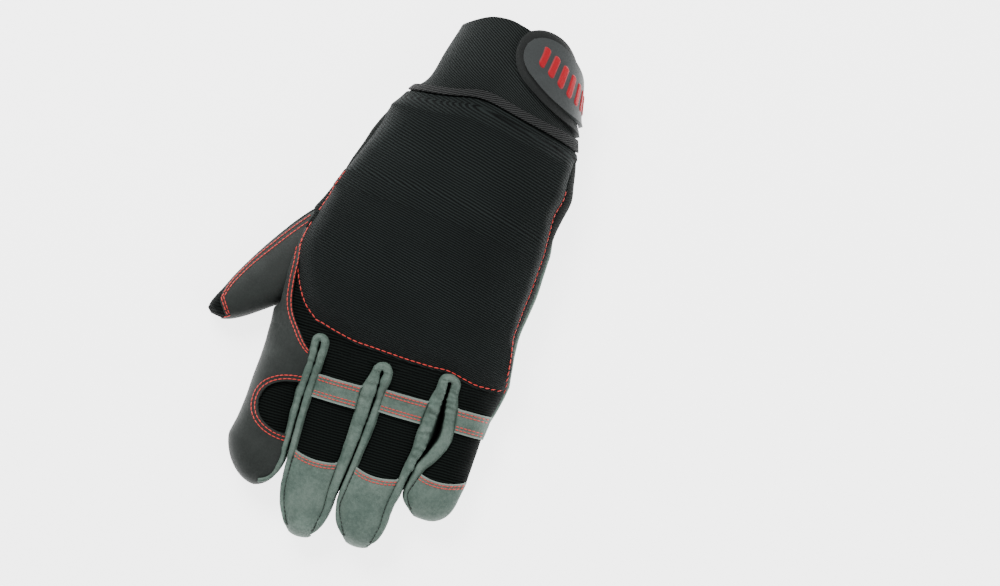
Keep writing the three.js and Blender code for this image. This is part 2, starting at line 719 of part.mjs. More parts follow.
// A side wall between two fingers: it runs up the near side of one, loops round the crotch and
// runs down the other, and its upper edge is rolled outwards over the backs of the fingers.
function fourchette(s, extra = 0) {
  const slit = slits[s];
  const endNarrow = 0.45;
  const limbEnd = (i) => {
    const finger = FINGERS[i];
    const rounding = (1 - endNarrow ** finger.power) ** (1 / finger.power);
    return KNUCKLE_Y - finger.length * lerp(finger.roundFrom, 1, rounding);
  };
  const loop = 0.08;
  const route = (a) => {
    const before = a < 0.5 - loop;
    const after = a > 0.5 + loop;
    if (before || after) {
      const i = before ? s : s + 1;
      const share = before ? a / (0.5 - loop) : (1 - a) / (0.5 - loop);
      const y = lerp(limbEnd(i), slit.crotch, share);
      const section = fingerSection(i, y);
      const side = before ? 1 : -1;
      const x = section.middle + side * section.half;
      const step = 0.2;
      const near = fingerSection(i, y - step);
      const lean = (x - (near.middle + side * near.half)) / step;
      const away = new THREE.Vector3(-side, side * lean, 0).normalize();
      return { point: new THREE.Vector3(x, y, 0), away, i, section };
    }
    const turn = ((a - 0.5 + loop) / (2 * loop)) * Math.PI;
    const away = new THREE.Vector3(-Math.cos(turn), Math.sin(turn), 0);
    const centre = new THREE.Vector3(slitMiddle(slit, slit.crotch), slit.crotch, 0);
    const point = centre.addScaledVector(away, slitHalf(slit, slit.crotch));
    const i = a < 0.5 ? s : s + 1;
    return { point, away, i, section: fingerSection(i, slit.crotch) };
  };
  const wall = 0.5;
  const surface = (a, b) => {
    const { point, away, i, section } = route(clamp(a, 0, 1));
    const share = ridgeShare(section.narrow);
    const width = ridgeWidth(slit, i === s ? "near" : "far", Math.min(point.y, slit.crotch)) * share;
    const inner = point.clone().addScaledVector(away, width + GAP);
    const top = fingerHeight(i, inner.x, inner.y) + GAP * 1.5;
    const tipRise = 1.5 * smoothstep(section.rounding, 0.2, 0.8);
    const foot = soleEdge(slit, point.y - 5, section.rounding) + 2 * GAP + tipRise;
    if (b < wall) {
      return point.setZ(lerp(foot, top, b / wall));
    }
    const turn = ((b - wall) / (1 - wall)) * Math.PI;
    point.addScaledVector(away, (width / 2) * (1 - Math.cos(turn)));
    return point.setZ(top + RIDGE_HEIGHT * share * Math.sin(turn));
  };
  const thin = (a) => Math.min(LEATHER, RIDGE_HEIGHT * ridgeShare(route(a).section.narrow) * 0.7);
  return sheet(surface, (a) => [-thin(clamp(a, 0, 1)) - extra, extra], ...MESH.sideWall);
}

function indexWrap() {
  const i = 0;
  const finger = FINGERS[i];
  const tip = KNUCKLE_Y - finger.length;
  const root = KNUCKLE_Y - 0.5;
  const innerLimit = (y) => {
    const section = fingerSection(i, y);
    const limit = backLimits(i, y, LEATHER_CLEARANCE)[1];
    const edge = wrapEdge((y - KNUCKLE_Y) / HAND_LENGTH) * HAND_WIDTH;
    return Math.min(limit, Math.max((edge - section.middle) / section.half, -0.9));
  };
  const sole = WRAP_SOLE_SHARE;
  const round = (u, v) => {
    const y = lerp(tip, root, 1 - Math.sin((1 - v) * (Math.PI / 2)));
    const section = fingerSection(i, y);
    if (u < sole) {
      const step = soleStep(u / sole, Math.min(FINGER_PALM_ROUND / section.half, 0.9));
      const edge = u < sole / 2 ? soleEdge(slits[0], y, section.rounding) : SIDE_SEAM;
      const curl = soleCurl(section.rounding);
      return new THREE.Vector3(section.middle + section.half * step.across, y, lerp(edge, curl, step.drop));
    }
    const q = lerp(0, stepOf(innerLimit(y), FINGER_ARCH), (u - sole) / (1 - sole));
    const across = acrossAt(q, FINGER_ARCH);
    const x = section.middle + section.half * across;
    const own = lerp(SIDE_SEAM, section.top, archRise(across, FINGER_ARCH));
    const blend = smoothstep(KNUCKLE_Y - y, 0, KNUCKLE_BLEND);
    return new THREE.Vector3(x, y, lerp(handHeight(x, y), own, blend));
  };
  const raised = (u) => smoothstep(u, sole * 0.8, sole + 0.06) * (WRAP_LIFT + LEATHER);
  const fingerPart = sheet(round, (u) => [raised(u) - LEATHER, raised(u)], ...MESH.indexWrap);
  const stripTop = KNUCKLE_Y + 0.33 * HAND_LENGTH;
  const strip = (u, v) => {
    const y = lerp(root - 1.5, stripTop, v);
    const body = bodySection(y);
    const edge = wrapEdge((y - KNUCKLE_Y) / HAND_LENGTH) * HAND_WIDTH;
    const inner = stepOf((edge - body.middle) / body.half, HAND_ARCH);
    const outer = BACK_DOOR_SHARE * thumbDoor(y);
    const across = acrossAt(lerp(Math.min(outer, inner - 0.01), inner, u), HAND_ARCH);
    const z = lerp(body.seam + GAP, body.top, archRise(across, HAND_ARCH));
    return new THREE.Vector3(body.middle + body.half * across, y, z);
  };
  const stripLift = (u, v) => tucked(WRAP_LIFT, WRAP_LIFT + LEATHER, v < 0.04);
  const handPart = sheet(strip, stripLift, ...MESH.indexStrip);
  return [insetCutter(), fourchette(0, GAP)].reduce(cut, join([fingerPart, handPart]));
}

// The oval notch in the dark leather, open to the slit.
function insetCutter() {
  const centreY = KNUCKLE_Y - 0.492 * INDEX_LENGTH;
  const half = NOTCH_LENGTH / 2;
  const right = slitMiddle(slits[0], centreY);
  const shape = new THREE.Shape();
  shape.absellipse(right - GAP, centreY, NOTCH_REACH, half, Math.PI / 2, Math.PI * 1.5, false);
  shape.lineTo(right, centreY - half);
  shape.lineTo(right, centreY + half);
  shape.closePath();
  const tool = new THREE.ExtrudeGeometry(shape, { depth: HAND_HEIGHT, bevelEnabled: false });
  tool.translate(0, 0, SIDE_SEAM + 3);
  return closed(tool);
}

function backPad() {
  const surface = (u, v) => {
    const guess = lerp(KNUCKLE_Y + 0.04 * HAND_LENGTH, SEAM_Y + 0.04 * HAND_WIDTH, v);
    const share = (guess - KNUCKLE_Y) / HAND_LENGTH;
    const body0 = bodySection(guess);
    const limit = (edge) => stepOf((edge * HAND_WIDTH - body0.middle) / body0.half, HAND_ARCH);
    const q = lerp(limit(padLeft(share)), limit(padRight(share)), u);
    const across = acrossAt(q, HAND_ARCH);
    const low = knuckleLine(across) + PAD_RISE * (1 - across * 0.9);
    const y = lerp(low, seamLine(across) - GAP, v);
    const body = bodySection(y);
    const z = lerp(body.seam + GAP, body.top, archRise(across, HAND_ARCH));
    return new THREE.Vector3(body.middle + body.half * across, y, z);
  };
  const rim = (u, v) => {
    const sideways = smoothstep(Math.min(u * 0.6, 1 - u), 0, 0.14);
    const lengthways = smoothstep(Math.min(v * 1.6, 1.4 * (1 - v) + 0.03), 0, 0.14);
    return lerp(PAD_HEM, PAD_THICKNESS, sideways * lengthways);
  };
  return sheet(surface, (u, v) => [3 * GAP, 3 * GAP + rim(u, v)], ...MESH.pad);
}

// A point of the whole ring of the cuff, q from 0 at the left side over the back to 0.5 at the right
// side and on underneath to 1.
function ringPoint(q, y) {
  const body = bodySection(y);
  const turn = ((q % 1) + 1) % 1;
  if (turn <= 0.5) {
    const across = acrossAt(turn * 2, HAND_ARCH);
    const z = lerp(body.seam, body.top, archRise(across, HAND_ARCH));
    return new THREE.Vector3(body.middle + body.half * across, y, z);
  }
  const step = soleStep(turn * 2 - 1, PALM_ROUND / body.half);
  return new THREE.Vector3(body.middle + body.half * step.across, y, lerp(body.seam, body.low, step.drop));
}

function ringAcross(q) {
  const turn = ((q % 1) + 1) % 1;
  if (turn <= 0.5) {
    return acrossAt(turn * 2, HAND_ARCH);
  }
  return soleStep(turn * 2 - 1, PALM_ROUND / (HAND_WIDTH * 0.25)).across;
}

function cuff(high = 0) {
  const surface = (u, v) => {
    const across = ringAcross(u);
    return ringPoint(u, lerp(seamLine(across) + GAP, mouthLine(across), v));
  };
  return sleeve(surface, () => [-KNIT, high], ...MESH.cuff);
}

function cuffSeamTape() {
  const surface = (u, v) => {
    const q = lerp(0.02, 0.48, u);
    const across = ringAcross(q);
    const width = TAPE_WIDTH * lerp(0.7, 1.2, u);
    return ringPoint(q, lerp(seamLine(across) + 2 * GAP, seamLine(across) + width, v));
  };
  return sheet(surface, () => [GAP, GAP + TAPE_THICKNESS], ...MESH.tape);
}

// Places on the cuff: distance along its girth from the middle of the back, to the right and on
// underneath.
const STRAP_Y = SEAM_Y + 0.83 * CUFF_LENGTH;
const GIRTH_STEPS = 60;
const GIRTH_SHARE = 0.72;
const girthRows = [];
let girthSoFar = 0;
for (let k = 0; k <= GIRTH_STEPS; k += 1) {
  const q = 0.25 + (k / GIRTH_STEPS) * GIRTH_SHARE;
  const before = 0.25 + (Math.max(k - 1, 0) / GIRTH_STEPS) * GIRTH_SHARE;
  girthSoFar += ringPoint(q, STRAP_Y).distanceTo(ringPoint(before, STRAP_Y));
  girthRows.push({ girth: girthSoFar, q });
}
const ringStep = curve(girthRows, "girth", "q");

// The strap starts with a round end on the back, left of its middle,
// and slopes down towards the hand as it goes round.
const STRAP_START = -4;

function strapSurface(width, length, start) {
  return (u, v) => {
    const along = start + length * v;
    const fall = STRAP_FALL * Math.exp(-along / STRAP_RUN);
    const slope = Math.atan2(-fall, STRAP_RUN);
    const rounding = clamp(1 - (along - start) / (width / 2), 0, 0.98);
    const side = (0.5 - u) * width * Math.sqrt(1 - rounding ** 2);
    const girth = along - side * Math.sin(slope);
    const y = STRAP_Y - (STRAP_FALL - fall) + side * Math.cos(slope);
    if (girth < 0) {
      return ringPoint(0.25 + girth * (ringStep(1) - ringStep(0)), y);
    }
    return ringPoint(ringStep(girth), y);
  };
}

function wristStrap() {
  const surface = strapSurface(STRAP_WIDTH, STRAP_LENGTH, STRAP_START);
  const strap = sheet(surface, () => [2 * GAP, 2 * GAP + STRAP_THICKNESS], ...MESH.strap);
  return cut(strap, cuff(GAP));
}

function strapBadge() {
  const start = STRAP_START + (STRAP_WIDTH - BADGE_WIDTH) / 2;
  const surface = strapSurface(BADGE_WIDTH, BADGE_LENGTH, start);
  const under = 4 * GAP + STRAP_THICKNESS;
  return sheet(surface, () => [under, under + BADGE_THICKNESS], ...MESH.badge);
}

const thumbOuter = curve(THUMB_ROWS, "along", "outer");
const thumbInner = curve(THUMB_ROWS, "along", "inner");
const thumbTop = curve(THUMB_ROWS, "along", "top");
const thumbSplit = curve(THUMB_ROWS, "along", "split");

// A point of the thumb: q from 0 at its outer side over the top to 0.5 at its inner side and on
// underneath, v from 0 in the hand's side to 1 at the tip.
function thumbPoint(q, v) {
  const turn = ((q % 1) + 1) % 1;
  const arch = turn <= 0.5;
  const step = soleStep(clamp(turn * 2 - 1, 0, 1), 0.3);
  const across = arch ? -acrossAt(turn * 2, FINGER_ARCH) : -step.across;
  const rise = arch ? archRise(across, FINGER_ARCH) : -step.drop;
  const direction = new THREE.Vector2(Math.cos(THUMB_TURN), Math.sin(THUMB_TURN));
  const aside = new THREE.Vector2(direction.y, -direction.x);
  const rootX = HAND_ROWS[2].left * HAND_WIDTH;
  const rootY = KNUCKLE_Y + THUMB_ROOT_UP * HAND_LENGTH;
  const tuckIn = arch ? 2 * GAP : 2 * GAP + (PALM_ROUND - 3 * GAP) * step.drop;
  let along = 0;
  let sideways = 0;
  for (let pass = 0; pass < 3; pass += 1) {
    const share = along / THUMB_LENGTH;
    sideways = lerp(thumbInner(share), thumbOuter(share), (across + 1) / 2) * THUMB_WIDTH;
    const root = (tuckIn - aside.x * sideways) / direction.x;
    along = lerp(root, THUMB_LENGTH, v);
  }
  const top = thumbTop(along / THUMB_LENGTH) * THUMB_HEIGHT;
  const curl = THUMB_SEAM * (1 - Math.sqrt(1 - clamp((along / THUMB_LENGTH - 0.8) / 0.25, 0, 1) ** 2));
  const end = rise >= 0 ? Math.max(top, THUMB_SEAM + 1) : curl;
  const z = lerp(THUMB_SEAM, end, Math.abs(rise));
  const x = rootX + direction.x * along + aside.x * sideways;
  return new THREE.Vector3(x, rootY + direction.y * along + aside.y * sideways, z);
}

function thumbLeather() {
  const surface = (u, v) => {
    const along = THUMB_LEATHER_END * v;
    return thumbPoint(lerp(THUMB_LEATHER_FROM, thumbSplit(along) + THUMB_GAP_SHARE, u), along);
  };
  return sheet(surface, () => [-LEATHER, 0], ...MESH.thumbLeather);
}

function thumbBack() {
  const strip = (u, v) => {
    const along = (THUMB_LEATHER_END + 0.025) * v;
    return thumbPoint(lerp(thumbSplit(along) - THUMB_GAP_SHARE, THUMB_STRIP_END, u), along);
  };
  const tip = (u, v) => thumbPoint(1 - u, lerp(THUMB_LEATHER_END + THUMB_GAP_SHARE, 0.997, v));
  return join([
    sheet(strip, () => [-FABRIC, 0], ...MESH.thumbStrip),
    sleeve(tip, () => [-FABRIC, TUCK / 2], ...MESH.thumbTip),
  ]);
}

// Materials
const blackFabric = { color: 0x101214, roughness: 0.92, metalness: 0 };
const ribbedKnit = { color: 0x2a2c2b, roughness: 0.95, metalness: 0 };
const greyLeather = { color: 0x75847d, roughness: 0.75, metalness: 0 };
const darkLeather = { color: 0x3b3f3f, roughness: 0.7, metalness: 0 };
const strapFabric = { color: 0x17191a, roughness: 0.85, metalness: 0 };
const badgeRubber = { color: 0x4c504f, roughness: 0.55, metalness: 0 };

const glove = new THREE.Group();

function addPiece(name, geometry, finish) {
  const mesh = new THREE.Mesh(geometry, new THREE.MeshStandardMaterial(finish));
  mesh.name = name;
  glove.add(mesh);
}

addPiece("back_shell", backShell(-FABRIC, 0), blackFabric);
addPiece("palm", palm(), greyLeather);
addPiece("back_pad", backPad(), blackFabric);
addPiece("index_wrap", indexWrap(), darkLeather);
for (const i of [1, 2, 3]) {
  addPiece(`knuckle_band_${FINGERS[i].name}`, knuckleBand(i), greyLeather);
  addPiece(`fingertip_cap_${FINGERS[i].name}`, fingertipCap(i), greyLeather);
}
SLITS.forEach((slit, s) => addPiece(`fourchette_${slit.name}`, fourchette(s), greyLeather));
addPiece("thumb_leather", thumbLeather(), darkLeather);
addPiece("thumb_back", thumbBack(), blackFabric);
addPiece("cuff", cuff(), ribbedKnit);
addPiece("cuff_seam_tape", cuffSeamTape(), ribbedKnit);
addPiece("wrist_strap", wristStrap(), strapFabric);
addPiece("strap_badge", strapBadge(), badgeRubber);

// The origin is the middle of the glove's underside.
const box = new THREE.Box3().setFromObject(glove);
const centre = box.getCenter(new THREE.Vector3());
glove.position.set(-centre.x, -centre.y, -box.min.z);

export default glove;
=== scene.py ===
"""A left-hand work glove with a ribbed protective back, lying palm down on a pale surface."""

import math

import bmesh
import bpy
import numpy as np
from mathutils import Matrix, Vector, noise
from mathutils.bvhtree import BVHTree


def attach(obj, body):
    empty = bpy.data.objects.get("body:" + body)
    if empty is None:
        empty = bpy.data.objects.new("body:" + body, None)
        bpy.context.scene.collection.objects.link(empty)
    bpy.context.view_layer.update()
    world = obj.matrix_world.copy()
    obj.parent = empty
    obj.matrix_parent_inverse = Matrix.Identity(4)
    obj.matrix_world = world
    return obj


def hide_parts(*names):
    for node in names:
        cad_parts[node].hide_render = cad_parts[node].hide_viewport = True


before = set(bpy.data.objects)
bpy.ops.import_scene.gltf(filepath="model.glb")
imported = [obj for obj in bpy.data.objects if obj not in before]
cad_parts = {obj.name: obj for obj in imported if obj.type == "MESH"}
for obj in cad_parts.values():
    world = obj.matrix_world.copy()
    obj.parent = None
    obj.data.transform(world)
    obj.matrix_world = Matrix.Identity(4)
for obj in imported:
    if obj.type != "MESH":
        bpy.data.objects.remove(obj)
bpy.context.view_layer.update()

MM = 0.001
VIEW_TURN = math.radians(16)
VIEW_WIDTH = 0.475
VIEW_CENTRE = Vector((0.0558, 0.0056, 0.015))
LENS = 100
SENSOR = 36

camera_data = bpy.data.cameras.new("camera")
camera_data.lens = LENS
camera_data.sensor_width = SENSOR
camera_data.clip_end = 10
camera = bpy.data.objects.new("camera", camera_data)
camera.location = VIEW_CENTRE + Vector((0, 0, VIEW_WIDTH * LENS / SENSOR))
camera.rotation_euler = (0, 0, VIEW_TURN)
bpy.context.scene.collection.objects.link(camera)
bpy.context.scene.camera = camera

# Sizes of the glove, in millimetres, from the knuckle line.
HAND_WIDTH = 118
HAND_LENGTH = 121
HAND_HEIGHT = 28
CUFF_LENGTH = 46
CUFF_HEIGHT = 34
INDEX_LENGTH = 76
MIDDLE_LENGTH = 94.5
RING_LENGTH = 92
LITTLE_LENGTH = 70.5
FINGER_HEIGHT = 20
THUMB_LENGTH = 46
THUMB_WIDTH = 30
THUMB_HEIGHT = 17
SIDE_SEAM = 8
PALM_ROUND = 10
FABRIC = 1.2
LEATHER = 1.1
WALL_LEATHER = 0.9
RIM_LEATHER = 0.8
KNIT = 2
PAD_THICKNESS = 5
PAD_SKIN = 1.6
RIDGE_HEIGHT = 1.9
STRAP_WIDTH = 27
STRAP_LENGTH = 90
STRAP_THICKNESS = 2.6
STRAP_FALL = 26
STRAP_RUN = 42
STRAP_STEEPER = 12.5
STRAP_STEEP_AT = 38
STRAP_STEEP_REACH = 26
STRAP_SAG = 1.5
BADGE_WIDTH = 19.5
BADGE_LENGTH = 36
BADGE_THICKNESS = 1.8
BADGE_SHIFT = 0.8
BAR_COUNT = 7
BAR_PITCH = 3.9
BAR_HALF = 1.05
BAR_REACH = 3.3
BAR_START = 6.5
BAR_SLANT = 0.4
BAR_LEAN = 0.93
TAPE_WIDTH = 5
TAPE_THICKNESS = 1.2
BAND_WIDTH = 11.5
GAP = 0.3
KNUCKLE_BLEND = 26
CAP_DIP = 3.3
STRAP_START = 3
STRAP_UP = 0.83
STRAP_RAISE = 6.5
NOTCH_REACH = 19.5
NOTCH_HALF = 12.9
NOTCH_POWER = 2.2
PAD_ROW_INSET = 1.2
HAND_ARCH = 2.7
FINGER_ARCH = 2.3
TIP_ARCH = 2.6
FINGER_PALM_EDGE = 3
FINGER_PALM_ROUND = 2.5
KNUCKLE_UNDERLAP = 3
SEAM_UNDERLAP = 1
STRIP_UNDERLAP = 2
STRIP_END = 0.41
THUMB_OPENING = 0.115

# up, left, right, top
HAND_ROWS = [
    (0, -0.465, 0.51, 0.94),
    (0.07, -0.47, 0.502, 0.96),
    (0.19, -0.475, 0.493, 0.99),
    (0.29, -0.475, 0.505, 1.01),
    (0.38, -0.468, 0.517, 1.03),
    (0.45, -0.437, 0.52, 1.04),
    (0.53, -0.395, 0.523, 1.05),
    (0.62, -0.358, 0.528, 1.06),
    (0.69, -0.336, 0.541, 1.06),
    (0.77, -0.307, 0.557, 1.07),
    (0.84, -0.285, 0.547, 1.08),
    (0.91, -0.262, 0.534, 1.08),
    (1, -0.208, 0.506, 1.09),
]
CUFF_ROWS = [
    (0, -0.208, 0.506, 0.9),
    (0.1, -0.178, 0.478, 0.9),
    (0.18, -0.148, 0.462, 0.91),
    (0.27, -0.13, 0.452, 0.93),
    (0.48, -0.106, 0.437, 0.97),
    (0.7, -0.08, 0.415, 0.99),
    (0.85, -0.064, 0.4, 1),
    (1, -0.053, 0.386, 1),
]
# across, knuckle, seam, mouth
BOW_ROWS = [
    (-1, 0.035, 0.01, -0.06),
    (-0.6, 0, 0.026, -0.012),
    (-0.25, -0.018, 0.05, -0.002),
    (0, -0.03, 0.044, -0.01),
    (0.4, -0.006, 0.012, -0.038),
    (0.8, 0.004, -0.022, -0.08),
    (1, 0.01, -0.047, -0.105),
]
# down, outer side
INDEX_SIDE_ROWS = [
    (0, -0.465), (0.19, -0.466), (0.43, -0.477), (0.62, -0.488), (0.77, -0.508), (1, -0.52),
]
LITTLE_SIDE_ROWS = [
    (0, 0.51), (0.1, 0.5), (0.23, 0.481), (0.36, 0.471), (0.49, 0.467), (0.65, 0.462),
    (0.77, 0.453), (0.87, 0.443), (1, 0.432),
]
# down, middle, half, width of the rolled edge to the left and to the right
INDEX_SLIT_ROWS = [
    (0, -0.257, 0.003, 0.034, 0.034),
    (0.12, -0.257, 0.003, 0.034, 0.034),
    (0.31, -0.267, 0.003, 0.031, 0.032),
    (0.59, -0.267, 0.003, 0.027, 0.031),
    (0.74, -0.268, 0.01, 0.024, 0.022),
    (1, -0.262, 0.013, 0.026, 0.022),
]
MIDDLE_SLIT_ROWS = [
    (0, 0.014, 0.006, 0.037, 0.037),
    (0.1, 0.014, 0.006, 0.037, 0.037),
    (0.21, 0.012, 0.003, 0.062, 0.033),
    (0.4, 0.003, 0.003, 0.053, 0.037),
    (0.57, -0.01, 0.003, 0.048, 0.03),
    (0.71, -0.024, 0.003, 0.042, 0.027),
    (0.8, -0.029, 0.005, 0.036, 0.022),
    (1, -0.034, 0.014, 0.028, 0.022),
]
RING_SLIT_ROWS = [
    (0, 0.287, 0.01, 0.038, 0.038),
    (0.1, 0.285, 0.005, 0.042, 0.042),
    (0.17, 0.285, 0.008, 0.053, 0.052),
    (0.26, 0.289, 0.017, 0.058, 0.05),
    (0.34, 0.287, 0.019, 0.056, 0.05),
    (0.42, 0.268, 0.01, 0.048, 0.05),
    (0.49, 0.246, 0.003, 0.041, 0.042),
    (0.58, 0.23, 0.003, 0.034, 0.032),
    (0.66, 0.219, 0.003, 0.034, 0.022),
    (0.74, 0.219, 0.014, 0.034, 0.018),
    (0.9, 0.211, 0.02, 0.026, 0.018),
    (1, 0.205, 0.022, 0.022, 0.018),
]
# name, crotch, rows
SLITS = [
    ("index_middle", 0.036, INDEX_SLIT_ROWS),
    ("middle_ring", 0.092, MIDDLE_SLIT_ROWS),
    ("ring_little", 0.06, RING_SLIT_ROWS),
]
# name, length, round from, power, lean, tall, band, cap
FINGERS = [
    ("index", INDEX_LENGTH, 0.75, 1.9, 0.036, 1, 0, 0),
    ("middle", MIDDLE_LENGTH, 0.77, 2.4, 0.015, 1.04, 0.188, 0.575),
    ("ring", RING_LENGTH, 0.81, 2.2, 0.02, 1.02, 0.175, 0.59),
    ("little", LITTLE_LENGTH, 0.8, 2.8, 0, 0.92, 0.222, 0.69),
]
# down, height
FINGER_TOP_ROWS = [(0, 1.12), (0.3, 1.03), (0.75, 0.93), (1, 0.87)]
# up, left, right
PAD_ROWS = [
    (0.04, -0.29, 0.505),
    (0.09, -0.358, 0.497),
    (0.17, -0.409, 0.49),
    (0.26, -0.441, 0.49),
    (0.34, -0.447, 0.497),
    (0.45, -0.416, 0.502),
    (0.53, -0.388, 0.507),
    (0.62, -0.36, 0.513),
    (0.75, -0.31, 0.522),
    (1.05, -0.2, 0.49),
]
# across, height of the stitched row along the pad's lower edge
PAD_LOW_ROWS = [
    (-0.8, 0.06), (-0.64, 0.0535), (-0.47, 0.032), (-0.3, 0.0145), (-0.14, 0.01), (0.14, 0.002),
    (0.37, 0.0005), (0.5, 0.0025), (0.68, -0.016), (0.77, -0.0235), (0.94, -0.0205), (1, -0.018),
]
# up, inner edge of the dark leather on the hand
WRAP_EDGE_ROWS = [
    (-0.1, -0.24), (-0.06, -0.3), (0, -0.352), (0.05, -0.388), (0.1, -0.408), (0.17, -0.419),
    (0.25, -0.424), (0.32, -0.432), (0.42, -0.42),
]
# where each pair of fingers parts, down to the floor
PARTING = (-57.5, -71, -65)
# along, outer, inner, top, split
THUMB_ROWS = [
    (-0.4, 0.5, -0.52, 1, 0.09),
    (-0.2, 0.47, -0.53, 1, 0.08),
    (0.2, 0.36, -0.55, 1, 0.07),
    (0.56, 0.22, -0.47, 0.97, 0.07),
    (0.77, 0.11, -0.4, 0.9, 0.12),
    (0.92, 0.035, -0.29, 0.78, 0.3),
    (1, -0.035, -0.14, 0.5, 0.42),
]
THUMB_TURN = math.radians(225.5)
THUMB_ROOT_UP = 0.255
THUMB_SEAM = 7
THUMB_LEATHER_END = 0.92
THUMB_CORNER = 0.84
SEAM_Y = HAND_LENGTH
MOUTH_Y = SEAM_Y + CUFF_LENGTH


def lerp(a, b, t):
    return a + (b - a) * t


def clamp(value, low, high):
    return max(low, min(high, value))


def smoothstep(value, low, high):
    t = clamp((value - low) / (high - low), 0, 1)
    return t * t * (3 - 2 * t)


def curve(rows, column):
    """A smooth curve through one column of a table, held flat past its ends."""
    at = [row[0] for row in rows]
    values = [row[column] for row in rows]
    last = len(rows) - 1
    slopes = [
        (values[min(i + 1, last)] - values[max(i - 1, 0)]) / (at[min(i + 1, last)] - at[max(i - 1, 0)])
        for i in range(last + 1)
    ]

    def read(place):
        p = clamp(place, at[0], at[last])
        n = 1
        while n < last and at[n] < p:
            n += 1
        step = at[n] - at[n - 1]
        t = (p - at[n - 1]) / step
        rise = values[n] - values[n - 1]
        start = slopes[n - 1] * step
        end = slopes[n] * step
        return values[n - 1] + t * (start + t * (3 * rise - 2 * start - end + t * (start + end - 2 * rise)))

    return read


hand_left, hand_right, hand_top = (curve(HAND_ROWS, c) for c in (1, 2, 3))
cuff_left, cuff_right, cuff_top = (curve(CUFF_ROWS, c) for c in (1, 2, 3))
knuckle_bow, seam_bow, mouth_bow = (curve(BOW_ROWS, c) for c in (1, 2, 3))
index_side = curve(INDEX_SIDE_ROWS, 1)
little_side = curve(LITTLE_SIDE_ROWS, 1)
finger_top = curve(FINGER_TOP_ROWS, 1)
pad_left, pad_right = (curve(PAD_ROWS, c) for c in (1, 2))
wrap_edge = curve(WRAP_EDGE_ROWS, 1)
pad_low = curve(PAD_LOW_ROWS, 1)
slits = [
    (name, -crotch * MIDDLE_LENGTH, *(curve(rows, c) for c in (1, 2, 3, 4)))
    for name, crotch, rows in SLITS
]


def knuckle_line(across):
    return knuckle_bow(across) * HAND_WIDTH


def seam_line(across):
    return SEAM_Y + seam_bow(across) * HAND_WIDTH


def mouth_line(across):
    return MOUTH_Y + mouth_bow(across) * HAND_WIDTH


def slit_middle(slit, y):
    return slit[2](-y / MIDDLE_LENGTH) * HAND_WIDTH


def slit_half(slit, y):
    return max(slit[3](-y / MIDDLE_LENGTH) * HAND_WIDTH, GAP)


def ridge_width(slit, near, y):
    return slit[4 if near else 5](-y / MIDDLE_LENGTH) * HAND_WIDTH


def body_section(y):
    """The hand and cuff at a height y: middle, half width, top, underside, side seam."""
    if y > SEAM_Y:
        up = (y - SEAM_Y) / CUFF_LENGTH
        left = cuff_left(up) * HAND_WIDTH
        right = cuff_right(up) * HAND_WIDTH
        top = lerp(hand_top(1) * HAND_HEIGHT, CUFF_HEIGHT * cuff_top(up), smoothstep(up, 0, 0.5))
    elif y > 0:
        up = y / HAND_LENGTH
        left = hand_left(up) * HAND_WIDTH
        right = hand_right(up) * HAND_WIDTH
        top = hand_top(up) * HAND_HEIGHT
    else:
        left = index_side(-y / INDEX_LENGTH) * HAND_WIDTH
        right = little_side(-y / LITTLE_LENGTH) * HAND_WIDTH
        top = hand_top(0) * HAND_HEIGHT
    lift = (STRAP_THICKNESS + 3 * GAP) * smoothstep(y, SEAM_Y - PALM_ROUND, SEAM_Y + 2)
    return (left + right) / 2, (right - left) / 2, top, lift, SIDE_SEAM + lift


def finger_section(i, y):
    """A finger at a height y: middle, half width, top, how narrow the tip is, how far it rounds off."""
    _, length, round_from, power, lean, tall, _, _ = FINGERS[i]
    down = -y / length
    body = body_section(y)
    left = body[0] - body[1]
    if i > 0:
        left = slit_middle(slits[i - 1], y) + slit_half(slits[i - 1], y)
    right = body[0] + body[1]
    if i < 3:
        right = slit_middle(slits[i], y) - slit_half(slits[i], y)
    rounding = clamp((down - round_from) / (1 - round_from), 0, 0.9998)
    narrow = (1 - rounding**power) ** (1 / power)
    lower = (1 - rounding**TIP_ARCH) ** (1 / TIP_ARCH)
    middle = (left + right) / 2 + lean * HAND_WIDTH * rounding
    top = lerp(SIDE_SEAM, finger_top(down) * tall * FINGER_HEIGHT, lower)
    return middle, ((right - left) / 2) * narrow, top, narrow, rounding


def arch_rise(across, power):
    return (1 - clamp(abs(across), 0, 1) ** power) ** (1 / power)


def hand_height(x, y):
    middle, half, top, _, seam = body_section(y)
    return lerp(seam, top, arch_rise((x - middle) / half, HAND_ARCH))


def finger_height(i, x, y):
    middle, half, top, _, _ = finger_section(i, y)
    own = lerp(SIDE_SEAM, top, arch_rise((x - middle) / half, FINGER_ARCH))
    return lerp(hand_height(x, y), own, smoothstep(-y, 0, KNUCKLE_BLEND))


def ridge_share(narrow):
    return clamp((narrow - 0.35) / 0.5, 0.3, 1)


def slit_clearance(slit, near, y, clearance):
    limb = min(y, slit[1])
    reach = slit_half(slit, limb) + ridge_width(slit, near, limb) + clearance
    past = y - slit[1]
    if past <= 0:
        return reach
    return math.sqrt(max(reach**2 - past**2, 0))


def back_limits(i, y, clearance):
    """Left and right limits of a piece on a finger's back, as shares from -1 to 1."""
    section = finger_section(i, y)
    keep = ridge_share(section[3]) if section[3] > 0.4 else 0
    low, high = -1, 1
    if i > 0:
        inset = slit_clearance(slits[i - 1], False, y, clearance) - slit_half(slits[i - 1], y)
        low = clamp(-1 + inset * keep / section[1], -1.2, 0.9)
    if i < 3:
        inset = slit_clearance(slits[i], True, y, clearance) - slit_half(slits[i], y)
        high = clamp(1 - inset * keep / section[1], -0.9, 1.2)
    return low, high


def signed_power(value, power):
    return math.copysign(abs(value) ** power, value)


def across_at(q, power):
    return signed_power(-math.cos(math.pi * q), 2 / power)


